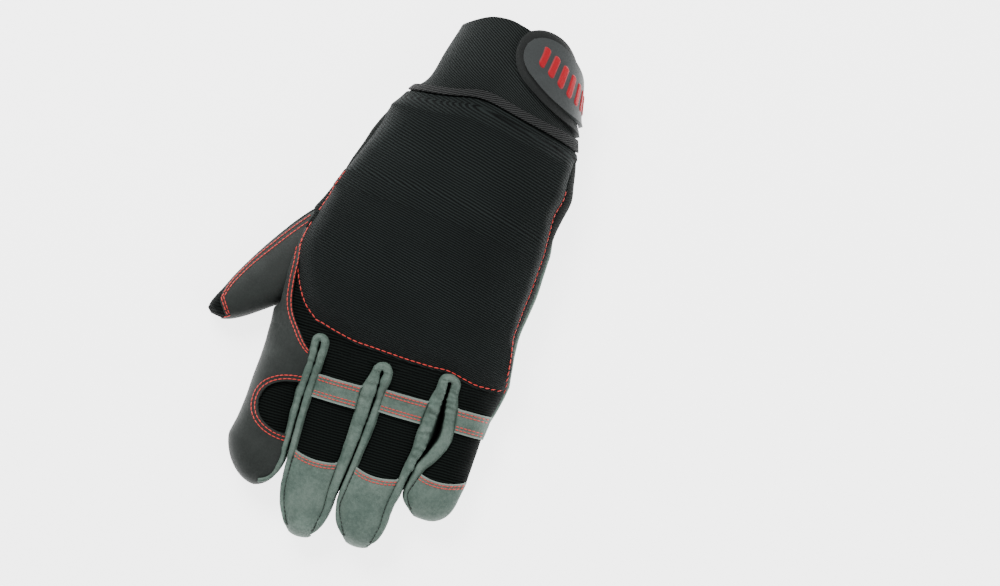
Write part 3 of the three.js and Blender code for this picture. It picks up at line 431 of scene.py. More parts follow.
def step_of(across, power):
    return math.acos(-signed_power(clamp(across, -1, 1), power / 2)) / math.pi


def sole_step(q, corner):
    """Place across and drop of the underside, q from the right seam to the left seam."""
    bend = 0.2
    if q < bend:
        turn = q / bend * math.pi / 2
        return 1 - corner * (1 - math.cos(turn)), math.sin(turn)
    if q > 1 - bend:
        turn = (1 - q) / bend * math.pi / 2
        return corner * (1 - math.cos(turn)) - 1, math.sin(turn)
    return lerp(1 - corner, corner - 1, (q - bend) / (1 - 2 * bend)), 1


def thumb_door(y):
    reach = THUMB_WIDTH * 0.79
    return 1 - smoothstep(abs(y - THUMB_ROOT_UP * HAND_LENGTH), reach - 3, reach + 3)


def on_back(across, y, gap):
    """A place on the back of the hand or cuff, with a gap above the side seam."""
    middle, half, top, _, seam = body_section(y)
    return middle + half * across, y, lerp(seam + gap, top, arch_rise(across, HAND_ARCH))


def hand_back(u, v):
    guess = lerp(0, SEAM_Y, v)
    across = across_at(lerp(THUMB_OPENING * thumb_door(guess), 1, u), HAND_ARCH)
    y = lerp(knuckle_line(across) - KNUCKLE_UNDERLAP, seam_line(across) + SEAM_UNDERLAP, v)
    return on_back(across, y, GAP / 2)


def finger_back(i, clearance, from_line, to_line, lowest=-1):
    def surface(u, v):
        low, high = back_limits(i, lerp(to_line(0), from_line(0), v), clearance)
        low = step_of(max(low, lowest), FINGER_ARCH)
        across = across_at(lerp(low, step_of(high, FINGER_ARCH), u), FINGER_ARCH)
        y = lerp(to_line(across), from_line(across), v)
        middle, half, top, _, _ = finger_section(i, y)
        x = middle + half * across
        own = lerp(SIDE_SEAM + GAP / 2, top, arch_rise(across, FINGER_ARCH))
        return x, y, lerp(hand_height(x, y), own, smoothstep(-y, 0, KNUCKLE_BLEND))

    return surface


FABRIC_CLEARANCE = -1.3
LEATHER_CLEARANCE = -0.9


def knuckle_near(i):
    section = finger_section(i, 0)
    body = body_section(0)

    def line(across):
        place = (section[0] + section[1] * across - body[0]) / body[1]
        return knuckle_line(clamp(place, -1, 1))

    return line


def sole_edge(slit, y, rounding):
    height = lerp(LEATHER + GAP, FINGER_PALM_EDGE, smoothstep(slit[1] - y, 4, 14))
    return lerp(height, SIDE_SEAM - GAP, smoothstep(rounding, 0.55, 0.95))


def sole_curl(rounding):
    curl = clamp((rounding - 0.45) / 0.55, 0, 1)
    return (SIDE_SEAM - 2 * GAP) * (1 - math.sqrt(1 - curl**2))


def rough(x, y, z, size):
    """Soft unevenness at a point, from -1 to 1, with lumps of that size in millimetres."""
    return noise.noise(Vector((x / size, y / size, z / size)))


# The part frame's origin, seen from the knuckle line.
ORIGIN = Vector((-11.07, 36.68, 0))


# Materials


def node_group(name, inputs, outputs):
    group = bpy.data.node_groups.new(name, "ShaderNodeTree")
    for socket, kind, value in inputs:
        made = group.interface.new_socket(name=socket, in_out="INPUT", socket_type=kind)
        made.default_value = value
    for socket, kind in outputs:
        group.interface.new_socket(name=socket, in_out="OUTPUT", socket_type=kind)
    return group, group.nodes.new("NodeGroupInput"), group.nodes.new("NodeGroupOutput")


def add_node(tree, kind, settings=(), **inputs):
    node = tree.nodes.new(kind)
    for key, value in dict(settings).items():
        setattr(node, key, value)
    for key, value in inputs.items():
        socket = node.inputs[int(key[1:])] if key[0] == "_" else node.inputs[key.replace("__", " ")]
        if isinstance(value, bpy.types.NodeSocket):
            tree.links.new(value, socket)
        else:
            socket.default_value = value
    return node


def math_node(tree, operation, a, b=0.0, c=0.0):
    return add_node(tree, "ShaderNodeMath", {"operation": operation}, _0=a, _1=b, _2=c).outputs[0]


def product(tree, a, b):
    return math_node(tree, "MULTIPLY", a, b)


def scaled(tree, value, factor, shift):
    return math_node(tree, "MULTIPLY_ADD", value, factor, shift)


def noise_value(tree, place, scale, detail, **more):
    node = add_node(tree, "ShaderNodeTexNoise", Vector=place, Scale=scale, Detail=detail, **more)
    return node.outputs[0]


def mix_colour(tree, share, a, b, blend="MIX"):
    node = add_node(tree, "ShaderNodeMix", {"data_type": "RGBA", "blend_type": blend}, _0=share, _6=a, _7=b)
    return node.outputs[2]


def ramp(tree, value, low, high):
    smooth = {"interpolation_type": "SMOOTHSTEP"}
    return add_node(tree, "ShaderNodeMapRange", smooth, _0=value, _1=low, _2=high).outputs[0]


def bump(tree, strength, height, distance, **more):
    node = add_node(tree, "ShaderNodeBump", Strength=strength, Height=height, Distance=distance, **more)
    return node.outputs[0]


def finish_group(tree, sink, **values):
    for key, value in values.items():
        tree.links.new(value, sink.inputs[key])


# The twill threads of the cloths, in millimetres across and along.
TWILL_ASIDE = 0.85
TWILL_ALONG = 0.9


def rib_group():
    """Woven ribs along a direction of the cloth's own developed lengths, with a painted highlight on the rib
    crests and painted shade in the grooves between them.
    """
    group, source, sink = node_group(
        "cloth ribs",
        [
            ("Colour", "NodeSocketColor", (0.02, 0.02, 0.02, 1)),
            ("Pitch", "NodeSocketFloat", 1.8),
            ("Slant", "NodeSocketFloat", 0.0),
            ("Depth", "NodeSocketFloat", 0.4),
            ("Sheen", "NodeSocketFloat", 1.0),
        ],
        [("Colour", "NodeSocketColor"), ("Roughness", "NodeSocketFloat"), ("Normal", "NodeSocketVector")],
    )
    uv = add_node(group, "ShaderNodeUVMap", {"uv_map": "lengths"}).outputs[0]
    apart = add_node(group, "ShaderNodeSeparateXYZ", Vector=uv)
    place = add_node(group, "ShaderNodeTexCoord").outputs["Object"]
    drift = noise_value(group, place, 90.0, 2.0)
    fine = noise_value(group, place, 1700.0, 2.0)
    patch = noise_value(group, place, 28.0, 4.0)
    slant = product(group, apart.outputs[0], source.outputs["Slant"])
    run = math_node(group, "ADD", apart.outputs[1], slant)
    run = scaled(group, drift, 0.7, run)
    turns = math_node(group, "DIVIDE", run, source.outputs["Pitch"])
    wave = math_node(group, "SINE", product(group, turns, 2 * math.pi))
    rib = math_node(group, "POWER", scaled(group, wave, 0.5, 0.5), 0.9)
    twill = product(group, apart.outputs[0], 2 * math.pi / TWILL_ASIDE)
    twill = scaled(group, run, 2 * math.pi / TWILL_ALONG, twill)
    thread = scaled(group, math_node(group, "SINE", twill), 0.5, 0.5)
    height = scaled(group, thread, 0.22, rib)
    height = scaled(group, fine, 0.35, height)
    # painted highlight: the colour is lighter on the rib crests and darker in the grooves, varied by random
    # patches of tone; the Sheen input scales it
    crest_highlight_and_tone = scaled(group, rib, 1.5, 0.12)
    crest_highlight_and_tone = product(group, crest_highlight_and_tone, scaled(group, patch, 0.7, 0.65))
    crest_highlight_and_tone = product(group, crest_highlight_and_tone, scaled(group, fine, 0.6, 0.7))
    crest_highlight_and_tone = product(group, crest_highlight_and_tone, source.outputs["Sheen"])
    finish_group(
        group,
        sink,
        Colour=mix_colour(group, 1.0, source.outputs["Colour"], crest_highlight_and_tone, "MULTIPLY"),
        Roughness=scaled(group, fine, 0.15, 0.78),
        Normal=bump(group, 1.0, height, product(group, source.outputs["Depth"], MM)),
    )
    return group


def leather_group():
    """Grain, soft wrinkles and mottled colour of leather, with painted shade in the hollows of the grain and
    folds, a tint towards the Edge colour where a piece's per-point value is above zero, and painted shade
    where that value is below zero.
    """
    group, source, sink = node_group(
        "leather grain",
        [
            ("Colour", "NodeSocketColor", (0.2, 0.23, 0.21, 1)),
            ("Pale", "NodeSocketColor", (0.3, 0.33, 0.31, 1)),
            ("Grain", "NodeSocketFloat", 1.0),
            ("Folds", "NodeSocketFloat", 1.0),
            ("Mottle", "NodeSocketFloat", 0.5),
            ("Roughness", "NodeSocketFloat", 0.6),
            ("Edge", "NodeSocketColor", (0.36, 0.43, 0.39, 1)),
        ],
        [("Colour", "NodeSocketColor"), ("Roughness", "NodeSocketFloat"), ("Normal", "NodeSocketVector")],
    )
    place = add_node(group, "ShaderNodeTexCoord").outputs["Object"]
    edges = {"feature": "DISTANCE_TO_EDGE"}
    cells = add_node(group, "ShaderNodeTexVoronoi", edges, Vector=place, Scale=1150.0).outputs[0]
    pores = noise_value(group, place, 2100.0, 3.0)
    bent = add_node(group, "ShaderNodeTexNoise", Vector=place, Scale=120.0, Detail=2.0).outputs[1]
    bend = {"operation": "MULTIPLY_ADD"}
    warped = add_node(group, "ShaderNodeVectorMath", bend, _0=bent, _1=(0.006, 0.006, 0.006), _2=place)
    folds = noise_value(
        group, warped.outputs[0], 70.0, 4.0, settings={"noise_type": "RIDGED_MULTIFRACTAL"}
    )
    cloud = noise_value(group, place, 60.0, 5.0, Roughness=0.65)
    speck = noise_value(group, place, 620.0, 3.0)
    grain = math_node(group, "MINIMUM", product(group, cells, 5.0), 1.0)
    grain = scaled(group, pores, 0.5, grain)
    # per-point value of a piece: above zero tints the colour towards Edge (pale cut edges of bands and caps,
    # the badge's red bars), below zero is painted shade
    tint_shade_fac = add_node(group, "ShaderNodeAttribute", {"attribute_name": "tint_and_painted_shade"}).outputs["Fac"]
    grain_bump = bump(group, 0.7, grain, product(group, source.outputs["Grain"], 0.08 * MM))
    fold_depth = product(group, source.outputs["Folds"], 0.6 * MM)
    tint_and_painted_shade = scaled(group, speck, 0.5, product(group, cloud, 0.9))
    tint_and_painted_shade = product(group, ramp(group, tint_and_painted_shade, 0.42, 0.98), source.outputs["Mottle"])
    tone = mix_colour(group, tint_and_painted_shade, source.outputs["Colour"], source.outputs["Pale"])
    tone = mix_colour(group, math_node(group, "MAXIMUM", tint_shade_fac, 0.0), tone, source.outputs["Edge"])
    # painted shade: the colour is darker away from the raised fold lines and in the grain's crevices, where
    # the bump is low
    dark = scaled(group, ramp(group, folds, 0.05, 0.6), 0.25, 0.78)
    dark = product(group, dark, scaled(group, grain, 0.12, 0.86))
    # painted shade: the colour is darkened by the per-point value where it is below zero
    shade = math_node(group, "ADD", math_node(group, "MINIMUM", tint_shade_fac, 0.0), 1.0)
    finish_group(
        group,
        sink,
        Colour=mix_colour(group, 1.0, tone, product(group, dark, shade), "MULTIPLY"),
        Roughness=scaled(group, pores, 0.2, source.outputs["Roughness"]),
        Normal=bump(group, 0.6, folds, fold_depth, Normal=grain_bump),
    )
    return group


RIBS = rib_group()
GRAIN = leather_group()


def material(name, group=None, colour=(0.5, 0.5, 0.5), roughness=0.6, sheen=0.0, specular=0.5, **values):
    made = bpy.data.materials.new(name)
    made.use_nodes = True
    tree = made.node_tree
    shader = tree.nodes["Principled BSDF"]
    shader.inputs["Sheen Weight"].default_value = sheen
    shader.inputs["Sheen Roughness"].default_value = 0.5
    shader.inputs["Specular IOR Level"].default_value = specular
    if group is None:
        shader.inputs["Base Color"].default_value = (*colour, 1)
        shader.inputs["Roughness"].default_value = roughness
        return made
    effect = tree.nodes.new("ShaderNodeGroup")
    effect.node_tree = group
    effect.inputs["Colour"].default_value = (*colour, 1)
    for key, value in values.items():
        effect.inputs[key].default_value = value
    tree.links.new(effect.outputs["Colour"], shader.inputs["Base Color"])
    tree.links.new(effect.outputs["Roughness"], shader.inputs["Roughness"])
    tree.links.new(effect.outputs["Normal"], shader.inputs["Normal"])
    return made


def ribbed(name, colour, sheen, specular, **values):
    return material(name, RIBS, colour, sheen=sheen, specular=specular, **values)


PAD_CLOTH = ribbed("pad cloth", (0.0104, 0.0133, 0.0128), 0.01, 0.12, Pitch=1.22, Slant=0.24, Depth=0.35)
FINGER_CLOTH = ribbed("finger cloth", (0.0037, 0.0055, 0.0048), 0, 0.1, Pitch=1.35, Depth=0.4)
CUFF_KNIT = ribbed("cuff knit", (0.0195, 0.0235, 0.0225), 0.02, 0.14, Pitch=1.4, Slant=0.675, Depth=0.5)
TAPE_KNIT = ribbed("tape knit", (0.03, 0.031, 0.031), 0.03, 0.15, Pitch=1.1, Slant=-0.5, Depth=0.3)


def grained(name, colour, pale, specular, **values):
    return material(name, GRAIN, colour, specular=specular, Pale=(*pale, 1), **values)


STRAP_CLOTH = grained(
    "strap cloth", (0.014, 0.016, 0.0155), (0.022, 0.025, 0.024), 0.3, Grain=0.8, Folds=0.05
)
GREY_LEATHER = grained(
    "grey leather", (0.086, 0.138, 0.113), (0.205, 0.277, 0.233), 0.3, Mottle=0.85, Roughness=0.5
)
DARK_LEATHER = grained(
    "dark leather", (0.029, 0.034, 0.0315), (0.05, 0.057, 0.053), 0.18, Grain=0.6, Folds=0.25, Roughness=0.5
)
BADGE = grained(
    "badge rubber",
    (0.047, 0.053, 0.053),
    (0.061, 0.067, 0.067),
    0.3,
    Grain=0.5,
    Folds=0.0,
    Roughness=0.45,
    Edge=(0.5, 0.001, 0.012, 1),
)
RED_THREAD = material("red thread", None, (0.72, 0.05, 0.04), 0.55)
BLACK_THREAD = material("black thread", None, (0.012, 0.012, 0.012), 0.6)


# Building

# thickness, material, slot
CLOTH_SHEET = (FABRIC, FINGER_CLOTH, "black_fabric")
PAD_SHEET = (PAD_SKIN, PAD_CLOTH, "black_fabric")
DARK_SHEET = (LEATHER, DARK_LEATHER, "dark_leather")
GREY_SHEET = (LEATHER, GREY_LEATHER, "grey_leather")
WALL_SHEET = (WALL_LEATHER, GREY_LEATHER, "grey_leather")
RIM_SHEET = (RIM_LEATHER, GREY_LEATHER, "grey_leather")
CUFF_SHEET = (KNIT, CUFF_KNIT, "ribbed_knit")
TAPE_SHEET = (TAPE_THICKNESS, TAPE_KNIT, "ribbed_knit")
STRAP_SHEET = (STRAP_THICKNESS, STRAP_CLOTH, "strap_fabric")
BADGE_SHEET = (BADGE_THICKNESS + GAP, BADGE, "badge_rubber")


def finish_piece(bm, name, finish, nodes):
    mesh = bpy.data.meshes.new(name)
    bm.normal_update()
    for face in bm.faces:
        face.smooth = True
    bm.to_mesh(mesh)
    mesh.materials.append(finish)
    piece = bpy.data.objects.new(name, mesh)
    bpy.context.scene.collection.objects.link(piece)
    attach(piece, "root")
    if nodes:
        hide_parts(*nodes)
    return piece


def points_of(surface, columns, rows, lift):
    """Points of a surface on an even grid, raised along its normal."""
    us = np.linspace(0, 1, columns + 1)
    vs = np.linspace(0, 1, rows + 1)
    base = np.array([[surface(u, v) for u in us] for v in vs])
    du = np.gradient(base, axis=1)
    dv = np.gradient(base, axis=0)
    normal = np.cross(du, dv)
    size = np.linalg.norm(normal, axis=2, keepdims=True)
    normal = normal / np.maximum(size, 1e-9)
    height = np.array([[lift(u, v, base[j, i]) for i, u in enumerate(us)] for j, v in enumerate(vs)])
    return base + normal * height[..., None]


def panel(name, surface, columns, rows, lift, sheet, nodes, trim=None, round_edge=0.4, tint_and_painted_shade=None):
    """A piece of cloth or leather with its own thickness behind its face."""
    thick, finish, slot = sheet
    top = points_of(surface, columns, rows, lift)
    steps = np.linalg.norm(np.diff(top, axis=1), axis=2)
    across = np.concatenate([np.zeros((rows + 1, 1)), np.cumsum(steps, axis=1)], 1)
    across -= across[:, columns // 2 : columns // 2 + 1]
    along = top[..., 1]
    bm = bmesh.new()
    bmesh.ops.create_grid(bm, x_segments=columns, y_segments=rows, size=0.5)
    lengths = bm.loops.layers.uv.new("lengths")
    for face in bm.faces:
        for loop in face.loops:
            i = round((loop.vert.co.x + 0.5) * columns)
            j = round((loop.vert.co.y + 0.5) * rows)
            loop[lengths].uv = (across[j, i], along[j, i])
    # per-point tint (pale cut edges, the badge's red bars) and painted shade where the value is below zero
    tint_shade_layer = bm.verts.layers.float.new("tint_and_painted_shade")
    for vert in bm.verts:
        i = round((vert.co.x + 0.5) * columns)
        j = round((vert.co.y + 0.5) * rows)
        vert.co = (Vector(top[j, i]) - ORIGIN) * MM
        if tint_and_painted_shade:
            vert[tint_shade_layer] = tint_and_painted_shade(i / columns, j / rows, top[j, i])
    bmesh.ops.remove_doubles(bm, verts=bm.verts, dist=0.02 * MM)
    if trim:
        trim(bm)
    tree = BVHTree.FromBMesh(bm)
    piece = finish_piece(bm, name, finish, nodes)
    bm.free()
    wall = piece.modifiers.new("thickness", "SOLIDIFY")
    wall.thickness = thick * MM
    wall.offset = -1
    if round_edge:
        edge = piece.modifiers.new("rounded edge", "BEVEL")
        edge.width = round_edge * MM
        edge.segments = 3
        edge.limit_method = "ANGLE"
        edge.angle_limit = math.radians(60)
    return piece, tree


def even_path(points, spacing):
    """Points and directions at even steps along a line of points."""
    line = [Vector(p) for p in points]
    steps = [0]
    for a, b in zip(line, line[1:]):
        steps.append(steps[-1] + (b - a).length)
    count = max(1, round(steps[-1] / spacing))
    found = []
    n = 1
    for k in range(count):
        at = (k + 0.5) / count * steps[-1]
        while n < len(steps) - 1 and steps[n] < at:
            n += 1
        share = (at - steps[n - 1]) / max(steps[n] - steps[n - 1], 1e-9)
        found.append((line[n - 1].lerp(line[n], share), (line[n] - line[n - 1]).normalized()))
    return found


def on_top(trees, x, y):
    """Where a line straight down first meets one of the pieces, in metres."""
    best = None
    start = (Vector((x, y, 100)) - ORIGIN) * MM
    for tree in trees:
        hit, normal, _, _ = tree.ray_cast(start, Vector((0, 0, -1)))
        if hit and (best is None or hit.z > best[0].z):
            best = hit, normal if normal.z > 0 else -normal
    return best


STITCH_RISE = 0.32
STITCH_SINK = 0.02


def stitches(name, lines, trees, finish=RED_THREAD, pitch=2.2, length=2.15, wide=0.5):
    """Rows of short thread stitches that lie on the pieces under them."""
    bm = bmesh.new()
    for line in lines:
        for point, direction in even_path([(x, y, 0) for x, y in line], pitch):
            hit = on_top(trees, point.x, point.y)
            if hit is None:
                continue
            place, normal = hit
            way = (direction - normal * direction.dot(normal)).normalized()
            turn = Matrix((way, normal.cross(way), normal)).transposed().to_4x4()
            grow = Matrix.Diagonal((length * MM / 2, wide * MM / 2, wide * MM / 2, 1))
            move = Matrix.Translation(place + normal * (wide * STITCH_RISE - STITCH_SINK) * MM)
            bmesh.ops.create_icosphere(bm, subdivisions=2, radius=1, matrix=move @ turn @ grow)
    finish_piece(bm, name, finish, ())
    bm.free()


# The hand's back and the fingers' backs


def hand_cloth_lift(u, v, p):
    bulge = smoothstep(0.16 - u, 0, 0.12) * smoothstep(p[1], 42, 56) * smoothstep(114 - p[1], 0, 16)
    hem = smoothstep(v, 0.024, 0.036)
    return 1.5 * bulge + 0.25 * rough(*p, 14) * smoothstep(v, 0.03, 0.1) - 0.6 * (1 - hem)


panel("hand_back_cloth", hand_back, 110, 110, hand_cloth_lift, CLOTH_SHEET, ("back_shell",))

FABRIC_ENDS = (0.79, 0.65, 0.66, 0.77)
for i, end in enumerate(FABRIC_ENDS):
    finger_name, length = FINGERS[i][:2]

    def puff(u, v, p, i=i):
        seam = u if i == 3 else min(u, 1 - u)
        return -0.5 * (1 - smoothstep(seam, 0, 0.1)) + 0.35 * rough(*p, 9) * smoothstep(-p[1], 0, 8)

    panel(
        f"{finger_name}_back_cloth",
        finger_back(
            i, FABRIC_CLEARANCE, knuckle_near(i), lambda across, y=-end * length: y, -0.9 if i == 0 else -1
        ),
        34,
        80,
        puff,
        CLOTH_SHEET,
        ("back_shell",),
    )


# The protective pad


def pad_surface(u, v):
    guess = lerp(0.04 * HAND_LENGTH, SEAM_Y + 0.04 * HAND_WIDTH, v)
    share = guess / HAND_LENGTH
    middle, half, _, _, _ = body_section(guess)
    low = step_of((pad_left(share) * HAND_WIDTH - middle) / half, HAND_ARCH)
    high = step_of((pad_right(share) * HAND_WIDTH - middle) / half, HAND_ARCH)
    across = across_at(lerp(low, high, u), HAND_ARCH)
    start = pad_low(across) * HAND_WIDTH - PAD_ROW_INSET
    return on_back(across, lerp(start, seam_line(across) - GAP, v), GAP)


def pad_lift(u, v, p):
    side = smoothstep(min(u * lerp(0.9, 0.45, v), 1 - u), 0, 0.13)
    end = smoothstep(min(v * 1.3, 1.3 * (1 - v) + 0.02), 0, 0.13)
    swell = lerp(0.35, PAD_THICKNESS, side * end)
    row = min(min(u, 1 - u) * HAND_WIDTH, v * HAND_LENGTH) - PAD_ROW_INSET
    return GAP + swell - 0.45 * math.exp(-((row / 0.9) ** 2)) + 0.3 * rough(*p, 24)


pad, pad_tree = panel(
    "protective_pad", pad_surface, 150, 150, pad_lift, PAD_SHEET, ("back_pad",), round_edge=0.5
)


# The dark leather of the index finger


def index_ridge(y):
    return ridge_width(slits[0], True, y) * max(ridge_share(finger_section(0, y)[3]), 0.9)


def inner_limit(y):
    section = finger_section(0, y)
    rolled = 1 - (index_ridge(y) + LEATHER_CLEARANCE) / section[1]
    limit = min(back_limits(0, y, LEATHER_CLEARANCE)[1], rolled)
    edge = wrap_edge(y / HAND_LENGTH) * HAND_WIDTH
    return max(min(limit, (edge - section[0]) / section[1]), -0.3 if y < -50 else -0.9)


SOLE_SHARE = 0.45


def eased(v):
    """Rows closer together towards a fingertip."""
    return 1 - math.sin((1 - v) * math.pi / 2)


def index_round(u, v):
    y = lerp(-INDEX_LENGTH, -0.5, eased(v))
    middle, half, top, _, rounding = finger_section(0, y)
    if u < SOLE_SHARE:
        across, drop = sole_step(u / SOLE_SHARE, min(FINGER_PALM_ROUND / half, 0.9))
        edge = sole_edge(slits[0], y, rounding) if u < SOLE_SHARE / 2 else SIDE_SEAM
        return middle + half * across, y, lerp(edge, sole_curl(rounding), drop)
    share = (u - SOLE_SHARE) / (1 - SOLE_SHARE)
    across = across_at(lerp(0, step_of(inner_limit(y), FINGER_ARCH), share), FINGER_ARCH)
    x = middle + half * across
    own = lerp(SIDE_SEAM, top, arch_rise(across, FINGER_ARCH))
    return x, y, lerp(hand_height(x, y), own, smoothstep(-y, 0, KNUCKLE_BLEND))


def wrap_raise(u):
    return smoothstep(u, SOLE_SHARE * 0.8, SOLE_SHARE + 0.06) * (2.5 * GAP + LEATHER)


NOTCH_Y = -0.492 * INDEX_LENGTH
NOTCH_X = slit_middle(slits[0], NOTCH_Y) - GAP


def notch_line(grow, count=36):
    """The notch's outline, grown by a distance, from its upper end at the slit round to its lower end."""
    points = []
    for k in range(count + 1):
        turn = math.pi * (0.5 + k / count)
        x = NOTCH_X + (NOTCH_REACH + grow) * signed_power(math.cos(turn), 2 / NOTCH_POWER)
        points.append((x, NOTCH_Y + (NOTCH_HALF + grow) * signed_power(math.sin(turn), 2 / NOTCH_POWER)))
    return points


def in_notch(x, y):
    if x > NOTCH_X:
        return abs(y - NOTCH_Y) < NOTCH_HALF
    aside = abs((x - NOTCH_X) / NOTCH_REACH) ** NOTCH_POWER
    return aside + abs((y - NOTCH_Y) / NOTCH_HALF) ** NOTCH_POWER < 1


def cut_notch(bm):
    inside = []
    for face in bm.faces:
        centre = face.calc_center_median() / MM + ORIGIN
        if centre.z > SIDE_SEAM + 3 and in_notch(centre.x, centre.y):
            inside.append(face)
    bmesh.ops.delete(bm, geom=inside, context="FACES")
    outline = notch_line(0, 200)
    for vert in bm.verts:
        if not vert.is_boundary:
            continue
        place = vert.co / MM + ORIGIN
        if place.z < SIDE_SEAM + 3 or abs(place.y - NOTCH_Y) > NOTCH_HALF + 2 or place.x > NOTCH_X:
            continue
        near = min(outline, key=lambda p: (p[0] - place.x) ** 2 + (p[1] - place.y) ** 2)
        if math.hypot(near[0] - place.x, near[1] - place.y) < 1.6:
            vert.co.x = (near[0] - ORIGIN.x) * MM
            vert.co.y = (near[1] - ORIGIN.y) * MM


_, wrap_tree = panel(
    "index_leather",
    index_round,
    120,
    110,
    lambda u, v, p: wrap_raise(u) + 0.25 * rough(*p, 12),
    DARK_SHEET,
    ("index_wrap",),
    trim=cut_notch,
)


def index_strip(u, v):
    y = lerp(-STRIP_UNDERLAP, STRIP_END * HAND_LENGTH, v)
    middle, half, *_ = body_section(y)
    inner = step_of((wrap_edge(y / HAND_LENGTH) * HAND_WIDTH - middle) / half, HAND_ARCH)
    outer = THUMB_OPENING * thumb_door(y)
    return on_back(across_at(lerp(min(outer, inner - 0.01), inner, u), HAND_ARCH), y, GAP)


_, strip_tree = panel(
    "index_leather_on_hand",
    index_strip,
    24,
    60,
    lambda u, v, p: lerp(2.5 * GAP + LEATHER, 0.5, smoothstep(p[1], 26, 42)) - 0.25 * (v < 0.02),
    DARK_SHEET,
    ("index_wrap",),
)


# Bands over the knuckles and caps on the fingertips


def tucked_side(u, i):
    """How far a band or cap is drawn down at its sides, where it runs into the side seams."""
    return 1 - smoothstep(min(u, (1 - u) * (0.4 if i == 3 else 1)), 0, 0.09)


def raw_edge_tone(distance, low, high):
    """How pale the leather's cut edge is, at a distance from it in millimetres."""
    return 0.75 - 0.75 * smoothstep(distance, low, high)


def rows_across(surface, offsets, length, reach):
    """Rows of places across a band or cap, at distances from its upper edge."""
    shares = [0.05 + reach * k / 20 for k in range(21)]
    return [[surface(u, 1 - offset / length)[:2] for u in shares] for offset in offsets]


ROW_INSETS = (1.5, 3)
band_trees = []
cap_trees = []
band_lines = []
cap_lines = []
for i in (1, 2, 3):
    finger_name, length, *_, band, cap = FINGERS[i]
    start = -band * length
    surface = finger_back(i, LEATHER_CLEARANCE, lambda a, s=start: s, lambda a, s=start: s - BAND_WIDTH)
    _, tree = panel(
        f"{finger_name}_knuckle_band",
        surface,
        40,
        24,
        lambda u, v, p, i=i: lerp(2 * GAP + LEATHER, 0, tucked_side(u, i)) + 0.45 * rough(*p, 6),
        GREY_SHEET,
        (f"knuckle_band_{finger_name}",),
        tint_and_painted_shade=lambda u, v, p: raw_edge_tone(min(v, 1 - v) * BAND_WIDTH, 0.3, 1),
    )
    band_trees.append(tree)
    offsets = (*ROW_INSETS, *(BAND_WIDTH - inset for inset in reversed(ROW_INSETS)))
    band_lines += rows_across(surface, offsets, BAND_WIDTH, 0.93 if i == 3 else 0.9)
    top_edge = -cap * length

    def cap_from(across, t=top_edge):
        return t - CAP_DIP * (1 - across**2)

    cap_length = length + top_edge
    cap_surface = finger_back(i, LEATHER_CLEARANCE, cap_from, lambda a, n=length: -n)

    _, tree = panel(
        f"{finger_name}_fingertip_cap",
        lambda u, v, s=cap_surface: s(u, eased(v)),
        50,
        70,
        lambda u, v, p, i=i: lerp(GAP + LEATHER, -0.1, tucked_side(u, i)) + 0.35 * rough(*p, 8),
        GREY_SHEET,
        (f"fingertip_cap_{finger_name}",),
        tint_and_painted_shade=lambda u, v, p, c=cap_length: raw_edge_tone((1 - eased(v)) * c, 0.4, 1.1),
    )
    cap_trees.append(tree)
    cap_lines += rows_across(cap_surface, ROW_INSETS, cap_length, 0.92 if i == 3 else 0.9)


# The side walls between the fingers, rolled out over the fingers' backs


def wall_surface(s, loop=0.08, wall=0.5):
    slit = slits[s]
    half_gap = slit_half(slit, slit[1])
    centre = Vector((slit_middle(slit, slit[1]), slit[1], 0))

    def limb_end(i):
        _, length, round_from, power, *_ = FINGERS[i]
        end = 0.12 if i == 0 else 0.4
        rounding = (1 - end**power) ** (1 / power)
        return -length * lerp(round_from, 1, rounding)

    ends = {s: limb_end(s), s + 1: limb_end(s + 1)}

    def route(a):
        before = a < 0.5 - loop
        if before or a > 0.5 + loop:
            i = s if before else s + 1
            share = a / (0.5 - loop) if before else (1 - a) / (0.5 - loop)
            y = lerp(ends[i], slit[1], share)
            section = finger_section(i, y)
            side = 1 if before else -1
            x = section[0] + side * section[1]
            near = finger_section(i, y - 0.2)
            lean = (x - (near[0] + side * near[1])) / 0.2
            away = Vector((-side, side * lean, 0)).normalized()
            return Vector((x, y, 0)), away, i, section
        turn = (a - 0.5 + loop) / (2 * loop) * math.pi
        away = Vector((-math.cos(turn), math.sin(turn), 0))
        i = s if a < 0.5 else s + 1
        return centre + away * half_gap, away, i, finger_section(i, slit[1])

    def surface(a, b):
        point, away, i, section = route(a)
        share = max(ridge_share(section[3]), 0.9 if i == 0 else 0)
        width = ridge_width(slit, i == s, min(point.y, slit[1])) * share
        inner = point + away * (width + GAP)
        merge = smoothstep(a, 0.5 - loop, 0.5 + loop)
        top = finger_height(i, inner.x, inner.y) + GAP * 1.5
        if 0 < merge < 1:
            top = lerp(*(finger_height(s + n, inner.x, inner.y) for n in (0, 1)), merge) + GAP * 1.5
        foot = sole_edge(slit, point.y - 5, section[4]) + 2 * GAP + 1.5 * smoothstep(section[4], 0.2, 0.8)
        if b < wall:
            met = slit_half(slit, min(point.y, slit[1])) * smoothstep(point.y, PARTING[s] - 4, PARTING[s] + 4)
            point = point - away * met * 1.04 * (1 - smoothstep(b / wall, 0.3, 1))
            return point.x, point.y, lerp(foot, top, b / wall)
        turn = (b - wall) / (1 - wall) * math.pi
        reach = (1 - math.cos(turn)) / 2
        point = point + away * width * reach**1.1
        swell = RIDGE_HEIGHT * share * math.sin(turn) ** 0.75
        return point.x, point.y, top + swell - 1.2 * smoothstep(reach, 0.72, 1)

    return surface


